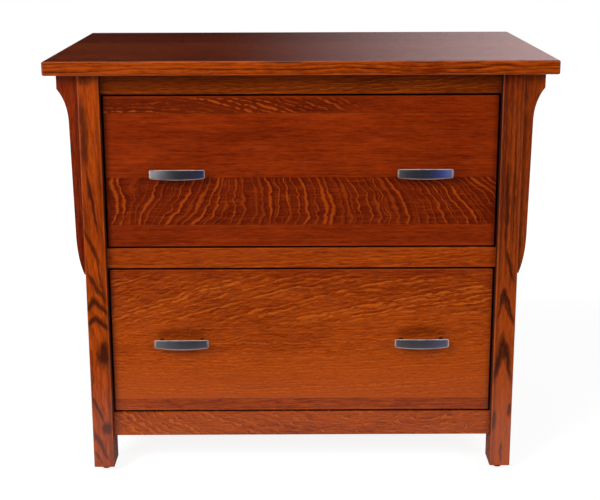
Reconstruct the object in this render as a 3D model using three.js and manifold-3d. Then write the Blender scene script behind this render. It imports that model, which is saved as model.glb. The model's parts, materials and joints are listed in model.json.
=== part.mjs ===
// A two-drawer lateral file in oak: posts, rails and panels, with dovetailed drawer boxes on telescopic slides.
// Millimetres. +X is to the right, +Y to the back and +Z up. The origin is on the floor, under the middle of the top.

import * as THREE from "three";
import { mergeVertices } from "three/addons/utils/BufferGeometryUtils.js";
import Module from "manifold-3d";

const wasm = await Module();
wasm.setup();

// Fits and gaps
const GLUE_LINE = 0.25; // between faces that are glued or screwed together
const TENON_FIT = 0.3; // round a tenon in its mortise
const PANEL_FIT = 0.5; // round a panel in its groove
const DOVETAIL_FIT = 0.25; // between a pin and a tail
const KERF_FIT = 0.3; // round a folder bar in its kerf
const SLIDE_GAP = 0.4; // between two members of a slide
const REVEAL = 3.5; // round a drawer front in its opening

// A board's corners are rounded a little more than its edges
const CORNER_TO_EDGE = 1.4;

// Top slab
const TOP_WIDTH = 914;
const TOP_DEPTH = 584;
const TOP_THICKNESS = 25;
const TOP_EDGE_RADIUS = 3;
const SIDE_OVERHANG = 19; // past the corbels
const FRONT_OVERHANG = 25; // past the posts
const BACK_OVERHANG = 13;

// Posts
const POST_WIDTH = 39;
const POST_DEPTH = 57;
const POST_EDGE_RADIUS = 2.5;
const POST_END_EDGE = 1.5;

// Corbels, drawn down from their top and out from the post
const CORBEL_THICKNESS = 38;
const CORBEL_REACH = 38;
const CORBEL_BLOCK = 27; // the upright face at the top
const CORBEL_NECK = 18.5; // reach at the foot of the cove
const CORBEL_NECK_DROP = 91;
const CORBEL_COVE_SLOPE = 0.8; // how steeply the cove turns in under the block
const CORBEL_TAIL = 15.5; // reach at the end of the taper
const CORBEL_TAIL_DROP = 287;
const CORBEL_TOE = 3;
const CORBEL_TOE_SLOPE = 0.4;
const CORBEL_LENGTH = 372;
const CORBEL_EDGE = 1;

// Front rails and the openings between them
const FLOOR_CLEARANCE = 71;
const BOTTOM_RAIL_HEIGHT = 48;
const MIDDLE_RAIL_HEIGHT = 38;
const TOP_RAIL_HEIGHT = 38;
const OPENING_HEIGHT = 286;
const RAIL_THICKNESS = 22;
const RAIL_SETBACK = 16; // behind the front of the posts
const RAIL_EDGE_RADIUS = 1.5;
const TENON_LENGTH = 20;
const TENON_THICKNESS = 9;
const TENON_SHOULDER = 7;

// Side frames
const SIDE_RAIL_THICKNESS = 19;
const SIDE_RAIL_SETBACK = 8; // inside the outer face of the posts
const UPPER_SIDE_RAIL_HEIGHT = 64;
const LOWER_SIDE_RAIL_HEIGHT = 76;
const SIDE_TENON_LENGTH = 16;
const SIDE_PANEL_THICKNESS = 8;
const SLIDE_BOARD_MARGIN = 10; // clear of the case's top and bottom edges

// Back frame
const BACK_RAIL_THICKNESS = 19;
const BACK_RAIL_SETBACK = 6; // inside the rear face of the posts
const BACK_UPPER_RAIL_HEIGHT = 64;
const BACK_LOWER_RAIL_HEIGHT = 76;
const BACK_PANEL_THICKNESS = 6;

// Grooves for the panels, and the wood left between a groove and a tenon
const PANEL_GROOVE = 8;
const GROOVE_WALL = 3;

// Glides
const GLIDE_HEIGHT = 12;
const GLIDE_RADIUS = 9.5;
const GLIDE_FLAT_RADIUS = 5.5;
const GLIDE_RIM = 1.5;
const NAIL_RADIUS = 1.5;
const NAIL_LENGTH = 16;
const NAIL_POINT = 3;

// Drawer fronts and pulls
const FRONT_THICKNESS = 22;
const FRONT_EDGE_RADIUS = 1.5;
const PULL_INSET = 132; // from the end of the drawer front to the middle of the pull
const PULL_LENGTH = 104;
const PULL_HEIGHT = 18;
const PULL_THICKNESS = 4.5;
const PULL_BOW = 7; // how far the middle stands in front of the ends
const PULL_STANDOFF = 15; // clear space behind the ends
const PULL_CENTRES = 76; // between the feet
const PULL_FOOT_RADIUS = 5.5;
const PULL_NECK_RADIUS = 4;
const PULL_EDGE = 1.2;
const PULL_CORNER_RADIUS = 2.5;

// Drawer boxes
const BOX_REAR_GAP = 26; // to the back rails
const BOX_HEIGHT = 256;
const BOX_LIFT = 9; // above the rail below
const BOX_THICKNESS = 15;
const BOX_EDGE_RADIUS = 3; // along the top edges
const BOX_BOTTOM_THICKNESS = 6;
const BOX_BOTTOM_RISE = 8;
const BOX_GROOVE = 6;
const TAIL_COUNT = 5;
const PIN_WIDTH = 8; // at its narrow end
const DOVETAIL_SLOPE = 0.14;
const FOLDER_BAR_THICKNESS = 3;
const FOLDER_BAR_HEIGHT = 14;
const FOLDER_BAR_INSET = 15; // clear space for a folder's hook between a bar and the box end
const FOLDER_BAR_HOUSING = 9; // how far a bar's end is let into the box side

// Slides
const SLIDE_SPACE = 13; // between the case and the drawer box
const MIDDLE_SLIDE_SHORT = 37; // by which the middle member is shorter than the others
const SLIDE_INSET = 3; // behind the drawer front
const SLIDE_RISE = 120; // middle of the slide above the rail below
const SLIDE_HEIGHT = 45;
const SLIDE_SHEET = 1.2;
const SLIDE_LIP = 2;
const CABINET_SLIDE_DEPTH = 9.2;
const MIDDLE_SLIDE_DEPTH = 11;
const BALL_TRACK = 4; // width of the row of balls between two members

// Steps round a corner, along a long curve, round an eased edge and round a turned piece
const ARC_STEPS = 4;
const CURVE_STEPS = 10;
const EASE_STEPS = 2;
const ROUND_STEPS = 20;

// Places that follow from the sizes above
const POST_OUTSIDE = TOP_WIDTH / 2 - SIDE_OVERHANG - CORBEL_REACH;
const POST_INSIDE = POST_OUTSIDE - POST_WIDTH;
const POST_FRONT = FRONT_OVERHANG - TOP_DEPTH / 2;
const POST_REAR = TOP_DEPTH / 2 - BACK_OVERHANG;
const FRONT_POST_REAR = POST_FRONT + POST_DEPTH;
const REAR_POST_FRONT = POST_REAR - POST_DEPTH;
const FACE = POST_FRONT + RAIL_SETBACK;
const BOTTOM_OPENING = FLOOR_CLEARANCE + BOTTOM_RAIL_HEIGHT;
const MIDDLE_RAIL = BOTTOM_OPENING + OPENING_HEIGHT;
const TOP_OPENING = MIDDLE_RAIL + MIDDLE_RAIL_HEIGHT;
const TOP_RAIL = TOP_OPENING + OPENING_HEIGHT;
const CASE_TOP = TOP_RAIL + TOP_RAIL_HEIGHT;
const FRAME_TOP = CASE_TOP - GLUE_LINE;
const SIDE_RAIL_OUTSIDE = POST_OUTSIDE - SIDE_RAIL_SETBACK;
const SIDE_RAIL_INSIDE = SIDE_RAIL_OUTSIDE - SIDE_RAIL_THICKNESS;
const BACK_RAIL_REAR = POST_REAR - BACK_RAIL_SETBACK;
const BACK_RAIL_FRONT = BACK_RAIL_REAR - BACK_RAIL_THICKNESS;
const BOX_FRONT = FACE + FRONT_THICKNESS + GLUE_LINE;
const BOX_REAR = BACK_RAIL_FRONT - BOX_REAR_GAP;
const BOX_HALF_WIDTH = POST_INSIDE - SLIDE_SPACE;
const BOX_INSIDE = BOX_HALF_WIDTH - BOX_THICKNESS;
const SLIDE_FRONT = FACE + FRONT_THICKNESS + SLIDE_INSET;
const SLIDE_LENGTH = BOX_REAR - BOX_FRONT;

// Finishes
const STAINED_OAK = { color: 0x8a3f12, roughness: 0.38, metalness: 0 };
const BOX_WOOD = { color: 0xc79a63, roughness: 0.5, metalness: 0 };
const PLYWOOD = { color: 0xa9713c, roughness: 0.6, metalness: 0 };
const GUNMETAL = { color: 0x4a4a4e, roughness: 0.35, metalness: 0.9 };
const ZINC = { color: 0xb9bcc0, roughness: 0.35, metalness: 0.9 };
const DARK_NYLON = { color: 0x241f1c, roughness: 0.55, metalness: 0 };

// Lays a shape drawn in the YZ or the XZ plane, and its length, into the frame
const UNIT_X = new THREE.Vector3(1, 0, 0);
const UNIT_Y = new THREE.Vector3(0, 1, 0);
const UNIT_Z = new THREE.Vector3(0, 0, 1);
const FROM_YZ = new THREE.Matrix4().makeBasis(UNIT_Y, UNIT_Z, UNIT_X);
const FROM_XZ = new THREE.Matrix4().makeBasis(UNIT_X, UNIT_Z, UNIT_Y.clone().negate());

// A shape's solid of some length, with the edges of its two ends eased
function prism(shape, length, ease) {
  const settings = {
    depth: length - 2 * ease,
    curveSegments: ARC_STEPS,
    bevelEnabled: ease > 0,
    bevelThickness: ease,
    bevelSize: ease,
    bevelOffset: -ease,
    bevelSegments: EASE_STEPS,
  };
  return new THREE.ExtrudeGeometry(shape, settings).translate(0, 0, ease);
}

function drawnInXY(shape, z0, z1, ease = 0) {
  return prism(shape, z1 - z0, ease).translate(0, 0, z0);
}

function drawnInXZ(shape, y0, y1, ease = 0) {
  return prism(shape, y1 - y0, ease).applyMatrix4(FROM_XZ).translate(0, y1, 0);
}

function drawnInYZ(shape, x0, x1, ease = 0) {
  return prism(shape, x1 - x0, ease).applyMatrix4(FROM_YZ).translate(x0, 0, 0);
}

function polygon(points) {
  return new THREE.Shape(points.map(([x, y]) => new THREE.Vector2(x, y)));
}

// A shape with finer steps on its long curves than a board's rounded corners have
function longCurves(shape) {
  return new THREE.Shape(shape.getPoints(CURVE_STEPS));
}

function rectangle(x0, x1, y0, y1, radius) {
  const shape = new THREE.Shape();
  shape.absarc(x1 - radius, y0 + radius, radius, -Math.PI / 2, 0);
  shape.absarc(x1 - radius, y1 - radius, radius, 0, Math.PI / 2);
  shape.absarc(x0 + radius, y1 - radius, radius, Math.PI / 2, Math.PI);
  shape.absarc(x0 + radius, y0 + radius, radius, Math.PI, 1.5 * Math.PI);
  return shape;
}

function box(x0, x1, y0, y1, z0, z1) {
  return new THREE.Box3(new THREE.Vector3(x0, y0, z0), new THREE.Vector3(x1, y1, z1));
}

// A box's solid, larger by some room on every side
function block(bounds, room = 0) {
  const size = bounds.getSize(new THREE.Vector3()).addScalar(2 * room);
  const middle = bounds.getCenter(new THREE.Vector3());
  return new THREE.BoxGeometry(size.x, size.y, size.z).translate(middle.x, middle.y, middle.z);
}

// Joins and cuts
function toSolid(geometry) {
  const bare = geometry.index ? geometry.toNonIndexed() : geometry.clone();
  bare.deleteAttribute("normal");
  bare.deleteAttribute("uv");
  const merged = mergeVertices(bare, 1e-4);
  const vertProperties = merged.getAttribute("position").array;
  const triVerts = new Uint32Array(merged.index.array);
  return new wasm.Manifold(new wasm.Mesh({ numProp: 3, vertProperties, triVerts }));
}

function toGeometry(solid) {
  const mesh = solid.getMesh();
  const indexed = new THREE.BufferGeometry();
  indexed.setAttribute("position", new THREE.BufferAttribute(mesh.vertProperties, 3));
  indexed.setIndex(new THREE.BufferAttribute(mesh.triVerts, 1));
  const geometry = indexed.toNonIndexed();
  geometry.computeVertexNormals();
  return geometry;
}

function joined(...geometries) {
  return toGeometry(geometries.map(toSolid).reduce((whole, next) => whole.add(next)));
}

function cut(geometry, ...tools) {
  return toGeometry(tools.map(toSolid).reduce((rest, tool) => rest.subtract(tool), toSolid(geometry)));
}

function common(a, b) {
  return toGeometry(toSolid(a).intersect(toSolid(b)));
}

// Named pieces
function piece(group, name, geometry, finish) {
  const mesh = new THREE.Mesh(geometry, new THREE.MeshStandardMaterial(finish));
  mesh.name = name;
  group.add(mesh);
  return mesh;
}

// A piece drawn on the right, and its mirror image on the left; the name's * is the side
function pair(group, name, geometry, finish) {
  piece(group, name.replace("*", "right"), geometry, finish);
  piece(group, name.replace("*", "left"), geometry, finish).scale.x = -1;
}

// A rail across the case. Its body stops at the posts, and one tongue through it makes both tenons.
function crossRail(y0, y1, z0, z1, shoulder) {
  const middle = (y0 + y1) / 2;
  const reach = POST_INSIDE + TENON_LENGTH;
  const half = TENON_THICKNESS / 2;
  const tongue = box(-reach, reach, middle - half, middle + half, z0 + shoulder, z1 - shoulder);
  const section = rectangle(y0, y1, z0, z1, RAIL_EDGE_RADIUS);
  const body = drawnInYZ(section, GLUE_LINE - POST_INSIDE, POST_INSIDE - GLUE_LINE);
  return { tongue, geometry: joined(body, block(tongue)) };
}

// A rail along the right side, between the front and the rear post
function sideRail(z0, z1) {
  const middle = (SIDE_RAIL_INSIDE + SIDE_RAIL_OUTSIDE) / 2;
  const half = TENON_THICKNESS / 2;
  const shoulder = PANEL_GROOVE + GROOVE_WALL;
  const y0 = FRONT_POST_REAR - SIDE_TENON_LENGTH;
  const y1 = REAR_POST_FRONT + SIDE_TENON_LENGTH;
  const tongue = box(middle - half, middle + half, y0, y1, z0 + shoulder, z1 - shoulder);
  const section = rectangle(SIDE_RAIL_INSIDE, SIDE_RAIL_OUTSIDE, z0, z1, RAIL_EDGE_RADIUS);
  const body = drawnInXZ(section, FRONT_POST_REAR + GLUE_LINE, REAR_POST_FRONT - GLUE_LINE);
  return { tongue, geometry: joined(body, block(tongue)) };
}

function frontRail(z0, z1) {
  return crossRail(FACE, FACE + RAIL_THICKNESS, z0, z1, TENON_SHOULDER);
}

function backRail(z0, z1) {
  return crossRail(BACK_RAIL_FRONT, BACK_RAIL_REAR, z0, z1, PANEL_GROOVE + GROOVE_WALL);
}

// A post on the right, with the mortises and the grooves for what enters it and the nail hole of its glide
function post(y0, y1, rails, panels) {
  const section = rectangle(POST_INSIDE, POST_OUTSIDE, y0, y1, POST_EDGE_RADIUS);
  const mortises = rails.map((rail) => block(rail.tongue, TENON_FIT));
  const grooves = panels.map((panel) => block(panel, PANEL_FIT));
  const hole = new THREE.CylinderGeometry(
    NAIL_RADIUS + TENON_FIT,
    NAIL_RADIUS + TENON_FIT,
    2 * NAIL_LENGTH + 2 * TENON_FIT,
    ROUND_STEPS,
  );
  hole.rotateX(Math.PI / 2);
  hole.translate((POST_INSIDE + POST_OUTSIDE) / 2, (y0 + y1) / 2, GLIDE_HEIGHT);
  const body = drawnInXY(section, GLIDE_HEIGHT, FRAME_TOP, POST_END_EDGE);
  return cut(body, ...mortises, ...grooves, hole);
}

function topSlab() {
  const corner = CORNER_TO_EDGE * TOP_EDGE_RADIUS;
  const outline = rectangle(-TOP_WIDTH / 2, TOP_WIDTH / 2, -TOP_DEPTH / 2, TOP_DEPTH / 2, corner);
  return drawnInXY(outline, CASE_TOP, CASE_TOP + TOP_THICKNESS, TOP_EDGE_RADIUS);
}

// A block, a cove under it, a long taper and a rounded toe, on the outer face of the right posts
function corbel(postMiddle) {
  const x = POST_OUTSIDE + GLUE_LINE;
  const outline = new THREE.Shape();
  outline.moveTo(x, FRAME_TOP - CORBEL_LENGTH);
  outline.lineTo(x + CORBEL_TOE, FRAME_TOP - CORBEL_LENGTH);
  const toeTurn = CORBEL_LENGTH - (CORBEL_TAIL - CORBEL_TOE) / CORBEL_TOE_SLOPE;
  const toe = [x + CORBEL_TAIL, FRAME_TOP - toeTurn];
  outline.quadraticCurveTo(...toe, x + CORBEL_TAIL, FRAME_TOP - CORBEL_TAIL_DROP);
  outline.lineTo(x + CORBEL_NECK, FRAME_TOP - CORBEL_NECK_DROP);
  const coveTurn = CORBEL_BLOCK + (CORBEL_REACH - CORBEL_NECK) / CORBEL_COVE_SLOPE;
  const cove = [x + CORBEL_NECK, FRAME_TOP - coveTurn];
  outline.quadraticCurveTo(...cove, x + CORBEL_REACH, FRAME_TOP - CORBEL_BLOCK);
  outline.lineTo(x + CORBEL_REACH, FRAME_TOP);
  outline.lineTo(x, FRAME_TOP);
  const half = CORBEL_THICKNESS / 2;
  return drawnInXZ(longCurves(outline), postMiddle - half, postMiddle + half, CORBEL_EDGE);
}

// A domed cap with a flat sole and a nail
function glide(postMiddle) {
  const cap = GLIDE_HEIGHT - GLUE_LINE;
  const profile = new THREE.Path();
  profile.moveTo(0, 0);
  profile.lineTo(GLIDE_FLAT_RADIUS, 0);
  profile.quadraticCurveTo(GLIDE_RADIUS, 0, GLIDE_RADIUS, cap - GLIDE_RIM);
  profile.lineTo(GLIDE_RADIUS, cap);
  profile.lineTo(NAIL_RADIUS, cap);
  profile.lineTo(NAIL_RADIUS, cap + NAIL_LENGTH - NAIL_POINT);
  profile.lineTo(0, cap + NAIL_LENGTH);
  const turned = new THREE.LatheGeometry(profile.getPoints(ARC_STEPS), ROUND_STEPS);
  return turned.rotateX(Math.PI / 2).translate((POST_INSIDE + POST_OUTSIDE) / 2, postMiddle, 0);
}

// Slide members: sections drawn out from the right post, extruded from the front to the back.
// The ball tracks on the middle and the drawer member reach to a running gap from the member outside them.
const SLIDE_HALF = SLIDE_HEIGHT / 2;
const MIDDLE_HALF = SLIDE_HALF - SLIDE_SHEET - SLIDE_LIP - SLIDE_GAP;
const INNER_HALF = MIDDLE_HALF - SLIDE_SHEET - SLIDE_LIP - SLIDE_GAP;
const MIDDLE_WEB = GLUE_LINE + SLIDE_SHEET + SLIDE_GAP;

// One half of a section, from its middle line up, is mirrored below that line
function slideMember(upperHalf, length) {
  const lowerHalf = upperHalf.map(([out, up]) => [out, -up]).reverse();
  const outline = [...upperHalf, ...lowerHalf].map(([out, up]) => [POST_INSIDE - out, SLIDE_RISE + up]);
  return drawnInXZ(polygon(outline), SLIDE_FRONT, SLIDE_FRONT + length);
}

function cabinetSlide() {
  const inner = SLIDE_HALF - SLIDE_SHEET;
  const lip = CABINET_SLIDE_DEPTH - SLIDE_SHEET;
  const half = [
    [GLUE_LINE + SLIDE_SHEET, inner],
    [lip, inner],
    [lip, inner - SLIDE_LIP],
    [CABINET_SLIDE_DEPTH, inner - SLIDE_LIP],
    [CABINET_SLIDE_DEPTH, SLIDE_HALF],
    [GLUE_LINE, SLIDE_HALF],
  ];
  return slideMember(half, SLIDE_LENGTH);
}

function middleSlide() {
  const inner = MIDDLE_HALF - SLIDE_SHEET;
  const lip = MIDDLE_SLIDE_DEPTH - SLIDE_SHEET;
  const track = SLIDE_HALF - SLIDE_SHEET - SLIDE_GAP;
  const trackEnd = CABINET_SLIDE_DEPTH - SLIDE_SHEET - SLIDE_GAP;
  const half = [
    [MIDDLE_WEB + SLIDE_SHEET, inner],
    [lip, inner],
    [lip, inner - SLIDE_LIP],
    [MIDDLE_SLIDE_DEPTH, inner - SLIDE_LIP],
    [MIDDLE_SLIDE_DEPTH, MIDDLE_HALF],
    [trackEnd, MIDDLE_HALF],
    [trackEnd, track],
    [trackEnd - BALL_TRACK, track],
    [trackEnd - BALL_TRACK, MIDDLE_HALF],
    [MIDDLE_WEB, MIDDLE_HALF],
  ];
  return slideMember(half, SLIDE_LENGTH - MIDDLE_SLIDE_SHORT);
}

function drawerSlide() {
  const back = SLIDE_SPACE - GLUE_LINE;
  const tip = MIDDLE_WEB + SLIDE_SHEET + SLIDE_GAP;
  const track = MIDDLE_HALF - SLIDE_SHEET - SLIDE_GAP;
  const trackEnd = MIDDLE_SLIDE_DEPTH - SLIDE_SHEET - SLIDE_GAP;
  const half = [
    [back, INNER_HALF],
    [trackEnd, INNER_HALF],
    [trackEnd, track],
    [trackEnd - BALL_TRACK, track],
    [trackEnd - BALL_TRACK, INNER_HALF],
    [tip, INNER_HALF],
    [tip, INNER_HALF - SLIDE_SHEET],
    [back - SLIDE_SHEET, INNER_HALF - SLIDE_SHEET],
  ];
  return slideMember(half, SLIDE_LENGTH);
}

// The two ends of each tail, from the bottom of the box up
function tails() {
  const pitch = BOX_HEIGHT / TAIL_COUNT;
  const half = PIN_WIDTH / 2;
  return Array.from({ length: TAIL_COUNT }, (_, i) => [
    BOX_LIFT + i * pitch + half,
    BOX_LIFT + (i + 1) * pitch - half,
  ]);
}

const DOVETAIL_FLARE = DOVETAIL_SLOPE * BOX_THICKNESS;
const BOX_TOP = BOX_LIFT + BOX_HEIGHT;
const BOX_SINK = BOX_LIFT - 2 * BOX_EDGE_RADIUS; // the rounding's section ends below the box

// The right side of a box, with a row of tails at each end
function boxSide(bottom, bars) {
  const rear = tails().flatMap(([low, high]) => [
    [BOX_REAR - BOX_THICKNESS, low + DOVETAIL_FLARE],
    [BOX_REAR, low],
    [BOX_REAR, high],
    [BOX_REAR - BOX_THICKNESS, high - DOVETAIL_FLARE],
  ]);
  const front = rear.map(([y, z]) => [BOX_FRONT + BOX_REAR - y, z]).reverse();
  const bottomEdge = [
    [BOX_FRONT + BOX_THICKNESS, BOX_LIFT],
    [BOX_REAR - BOX_THICKNESS, BOX_LIFT],
  ];
  const topEdge = [
    [BOX_REAR - BOX_THICKNESS, BOX_TOP],
    [BOX_FRONT + BOX_THICKNESS, BOX_TOP],
  ];
  const outline = polygon([...bottomEdge, ...rear, ...topEdge, ...front]);
  const board = drawnInYZ(outline, BOX_INSIDE, BOX_HALF_WIDTH);
  const rounded = rectangle(BOX_INSIDE, BOX_HALF_WIDTH, BOX_SINK, BOX_TOP, BOX_EDGE_RADIUS);
  const eased = common(board, drawnInXZ(rounded, BOX_FRONT, BOX_REAR));
  const kerfs = bars.map((bar) => block(bar, KERF_FIT));
  return cut(eased, block(bottom, KERF_FIT), ...kerfs);
}

// The front or the back of a box: a board between the sides, and pins that fill the spaces between the tails.
// outer is the face that shows the narrow ends of the pins, and inward points from it to the inside.
function boxEnd(outer, inward, bottom) {
  const inner = outer + inward * (BOX_THICKNESS - GLUE_LINE);
  const edges = [BOX_LIFT, ...tails().flat(), BOX_TOP];
  const pins = [];
  for (let i = 0; i < edges.length; i += 2) {
    const besideTail = [i > 0, i < edges.length - 2];
    const [low, high] = besideTail.map((beside) => (beside ? DOVETAIL_FIT : 0));
    const [lowFlare, highFlare] = besideTail.map((beside) => (beside ? DOVETAIL_FLARE : 0));
    const section = [
      [outer, edges[i] + low],
      [inner, edges[i] + low - lowFlare],
      [inner, edges[i + 1] - high + highFlare],
      [outer, edges[i + 1] - high],
    ];
    const turned = inward > 0 ? section : section.reverse();
    pins.push(drawnInYZ(polygon(turned), -BOX_HALF_WIDTH, BOX_HALF_WIDTH));
  }
  const reach = BOX_INSIDE - GLUE_LINE;
  const [y0, y1] = [Math.min(outer, inner), Math.max(outer, inner)];
  const board = block(box(-reach, reach, y0, y1, BOX_LIFT, BOX_TOP));
  const rounded = rectangle(y0, y1, BOX_SINK, BOX_TOP, BOX_EDGE_RADIUS);
  const eased = common(joined(board, ...pins), drawnInYZ(rounded, -BOX_HALF_WIDTH, BOX_HALF_WIDTH));
  return cut(eased, block(bottom, KERF_FIT));
}

// A drawer front with its edges eased
function drawerFront() {
  const half = POST_INSIDE - REVEAL;
  const corner = CORNER_TO_EDGE * FRONT_EDGE_RADIUS;
  const outline = rectangle(-half, half, REVEAL, OPENING_HEIGHT - REVEAL, corner);
  return drawnInXZ(outline, FACE, FACE + FRONT_THICKNESS, FRONT_EDGE_RADIUS);
}

// A flat bar bowed in plan on two turned feet. Its middle is over the origin, on the drawer's face.
function pull() {
  const halfLength = PULL_LENGTH / 2;
  const radius = (halfLength ** 2 + PULL_BOW ** 2) / (2 * PULL_BOW);
  const nose = PULL_STANDOFF + PULL_THICKNESS + PULL_BOW;
  const centre = radius - nose;
  const turn = Math.asin(halfLength / radius);
  const band = new THREE.Shape();
  band.absarc(0, centre, radius, -Math.PI / 2 - turn, -Math.PI / 2 + turn, false);
  band.absarc(0, centre, radius - PULL_THICKNESS, -Math.PI / 2 + turn, -Math.PI / 2 - turn, true);
  const halfHeight = PULL_HEIGHT / 2;
  const bar = drawnInXY(longCurves(band), -halfHeight, halfHeight, PULL_EDGE);
  const face = rectangle(-halfLength, halfLength, -halfHeight, halfHeight, PULL_CORNER_RADIUS);
  const rounded = common(bar, drawnInXZ(face, -nose - PULL_EDGE, 0));
  const footX = PULL_CENTRES / 2;
  const bowAtFoot = radius - Math.sqrt(radius ** 2 - footX ** 2);
  const reach = nose - bowAtFoot - PULL_THICKNESS / 2;
  const feet = [-footX, footX].map((x) =>
    new THREE.CylinderGeometry(PULL_FOOT_RADIUS, PULL_NECK_RADIUS, reach - GLUE_LINE, ROUND_STEPS)
      .translate(x, -(reach + GLUE_LINE) / 2, 0),
  );
  return joined(rounded, ...feet);
}

function makeCase() {
  const group = new THREE.Group();
  piece(group, "top", topSlab(), STAINED_OAK);

  const frontRails = {
    bottom_front_rail: frontRail(FLOOR_CLEARANCE, BOTTOM_OPENING),
    middle_front_rail: frontRail(MIDDLE_RAIL, TOP_OPENING),
    top_front_rail: frontRail(TOP_RAIL, FRAME_TOP),
  };
  for (const [name, rail] of Object.entries(frontRails)) {
    piece(group, name, rail.geometry, STAINED_OAK);
  }

  const sideLow = FLOOR_CLEARANCE + LOWER_SIDE_RAIL_HEIGHT;
  const sideHigh = FRAME_TOP - UPPER_SIDE_RAIL_HEIGHT;
  const sideRails = [sideRail(FLOOR_CLEARANCE, sideLow), sideRail(sideHigh, FRAME_TOP)];
  const sideMiddle = (SIDE_RAIL_INSIDE + SIDE_RAIL_OUTSIDE) / 2;
  const sidePanel = box(
    sideMiddle - SIDE_PANEL_THICKNESS / 2,
    sideMiddle + SIDE_PANEL_THICKNESS / 2,
    FRONT_POST_REAR - PANEL_GROOVE,
    REAR_POST_FRONT + PANEL_GROOVE,
    sideLow - PANEL_GROOVE,
    sideHigh + PANEL_GROOVE,
  );
  const sideGroove = block(sidePanel, PANEL_FIT);
  pair(group, "*_lower_side_rail", cut(sideRails[0].geometry, sideGroove), STAINED_OAK);
  pair(group, "*_upper_side_rail", cut(sideRails[1].geometry, sideGroove), STAINED_OAK);
  pair(group, "*_side_panel", block(sidePanel), STAINED_OAK);

  const backLow = FLOOR_CLEARANCE + BACK_LOWER_RAIL_HEIGHT;
  const backHigh = FRAME_TOP - BACK_UPPER_RAIL_HEIGHT;
  const backRails = [backRail(FLOOR_CLEARANCE, backLow), backRail(backHigh, FRAME_TOP)];
  const backMiddle = (BACK_RAIL_FRONT + BACK_RAIL_REAR) / 2;
  const backPanel = box(
    -POST_INSIDE - PANEL_GROOVE,
    POST_INSIDE + PANEL_GROOVE,
    backMiddle - BACK_PANEL_THICKNESS / 2,
    backMiddle + BACK_PANEL_THICKNESS / 2,
    backLow - PANEL_GROOVE,
    backHigh + PANEL_GROOVE,
  );
  const backGroove = block(backPanel, PANEL_FIT);
  piece(group, "back_lower_rail", cut(backRails[0].geometry, backGroove), STAINED_OAK);
  piece(group, "back_upper_rail", cut(backRails[1].geometry, backGroove), STAINED_OAK);
  piece(group, "back_panel", block(backPanel), PLYWOOD);

  const frontJoints = [...Object.values(frontRails), ...sideRails];
  const frontPost = post(POST_FRONT, FRONT_POST_REAR, frontJoints, [sidePanel]);
  const rearPost = post(REAR_POST_FRONT, POST_REAR, [...backRails, ...sideRails], [sidePanel, backPanel]);
  pair(group, "front_*_post", frontPost, STAINED_OAK);
  pair(group, "rear_*_post", rearPost, STAINED_OAK);
  const postMiddles = {
    front: (POST_FRONT + FRONT_POST_REAR) / 2,
    rear: (REAR_POST_FRONT + POST_REAR) / 2,
  };
  for (const [end, middle] of Object.entries(postMiddles)) {
    pair(group, end + "_*_corbel", corbel(middle), STAINED_OAK);
    pair(group, end + "_*_glide", glide(middle), DARK_NYLON);
  }

  const slideBoard = box(
    POST_INSIDE,
    SIDE_RAIL_INSIDE - GLUE_LINE,
    FRONT_POST_REAR + GLUE_LINE,
    REAR_POST_FRONT - GLUE_LINE,
    FLOOR_CLEARANCE + SLIDE_BOARD_MARGIN,
    CASE_TOP - SLIDE_BOARD_MARGIN,
  );
  pair(group, "*_slide_board", block(slideBoard), PLYWOOD);
  return group;
}

// One opening's drawer and slides, drawn above the rail below it
function makeDrawer(level, base) {
  const group = new THREE.Group();
  group.position.z = base;
  piece(group, level + "_drawer_front", drawerFront(), STAINED_OAK);

  const bottom = box(
    -BOX_INSIDE - BOX_GROOVE,
    BOX_INSIDE + BOX_GROOVE,
    BOX_FRONT + BOX_THICKNESS - BOX_GROOVE,
    BOX_REAR - BOX_THICKNESS + BOX_GROOVE,
    BOX_LIFT + BOX_BOTTOM_RISE,
    BOX_LIFT + BOX_BOTTOM_RISE + BOX_BOTTOM_THICKNESS,
  );
  const barInset = BOX_THICKNESS + FOLDER_BAR_INSET + FOLDER_BAR_THICKNESS / 2;
  const bars = {};
  for (const [end, y] of [["front", BOX_FRONT + barInset], ["rear", BOX_REAR - barInset]]) {
    const reach = BOX_INSIDE + FOLDER_BAR_HOUSING;
    const half = FOLDER_BAR_THICKNESS / 2;
    bars[end] = box(-reach, reach, y - half, y + half, BOX_TOP - FOLDER_BAR_HEIGHT, BOX_TOP);
    piece(group, level + "_" + end + "_folder_bar", block(bars[end]), ZINC);
  }
  pair(group, level + "_box_*_side", boxSide(bottom, Object.values(bars)), BOX_WOOD);
  piece(group, level + "_box_front", boxEnd(BOX_FRONT, 1, bottom), BOX_WOOD);
  piece(group, level + "_box_back", boxEnd(BOX_REAR, -1, bottom), BOX_WOOD);
  piece(group, level + "_box_bottom", block(bottom), PLYWOOD);

  for (const [side, sign] of [["left", -1], ["right", 1]]) {
    const mesh = piece(group, level + "_" + side + "_pull", pull(), GUNMETAL);
    mesh.position.set(sign * (POST_INSIDE - REVEAL - PULL_INSET), FACE, OPENING_HEIGHT / 2);
  }

  pair(group, level + "_*_cabinet_slide", cabinetSlide(), ZINC);
  pair(group, level + "_*_middle_slide", middleSlide(), ZINC);
  pair(group, level + "_*_drawer_slide", drawerSlide(), ZINC);
  return group;
}

const cabinet = new THREE.Group();
cabinet.add(makeCase());
cabinet.add(makeDrawer("lower", BOTTOM_OPENING));
cabinet.add(makeDrawer("upper", TOP_OPENING));

export default cabinet;
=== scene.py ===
# The looks of a two-drawer lateral file: stained quarter-sawn oak, bowed gunmetal pulls, maple drawer boxes
# and zinc slides. Metres. +X is to the right, +Y to the back and +Z up.
import json
import math

import bmesh
import bpy
from mathutils import Matrix, Vector

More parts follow.
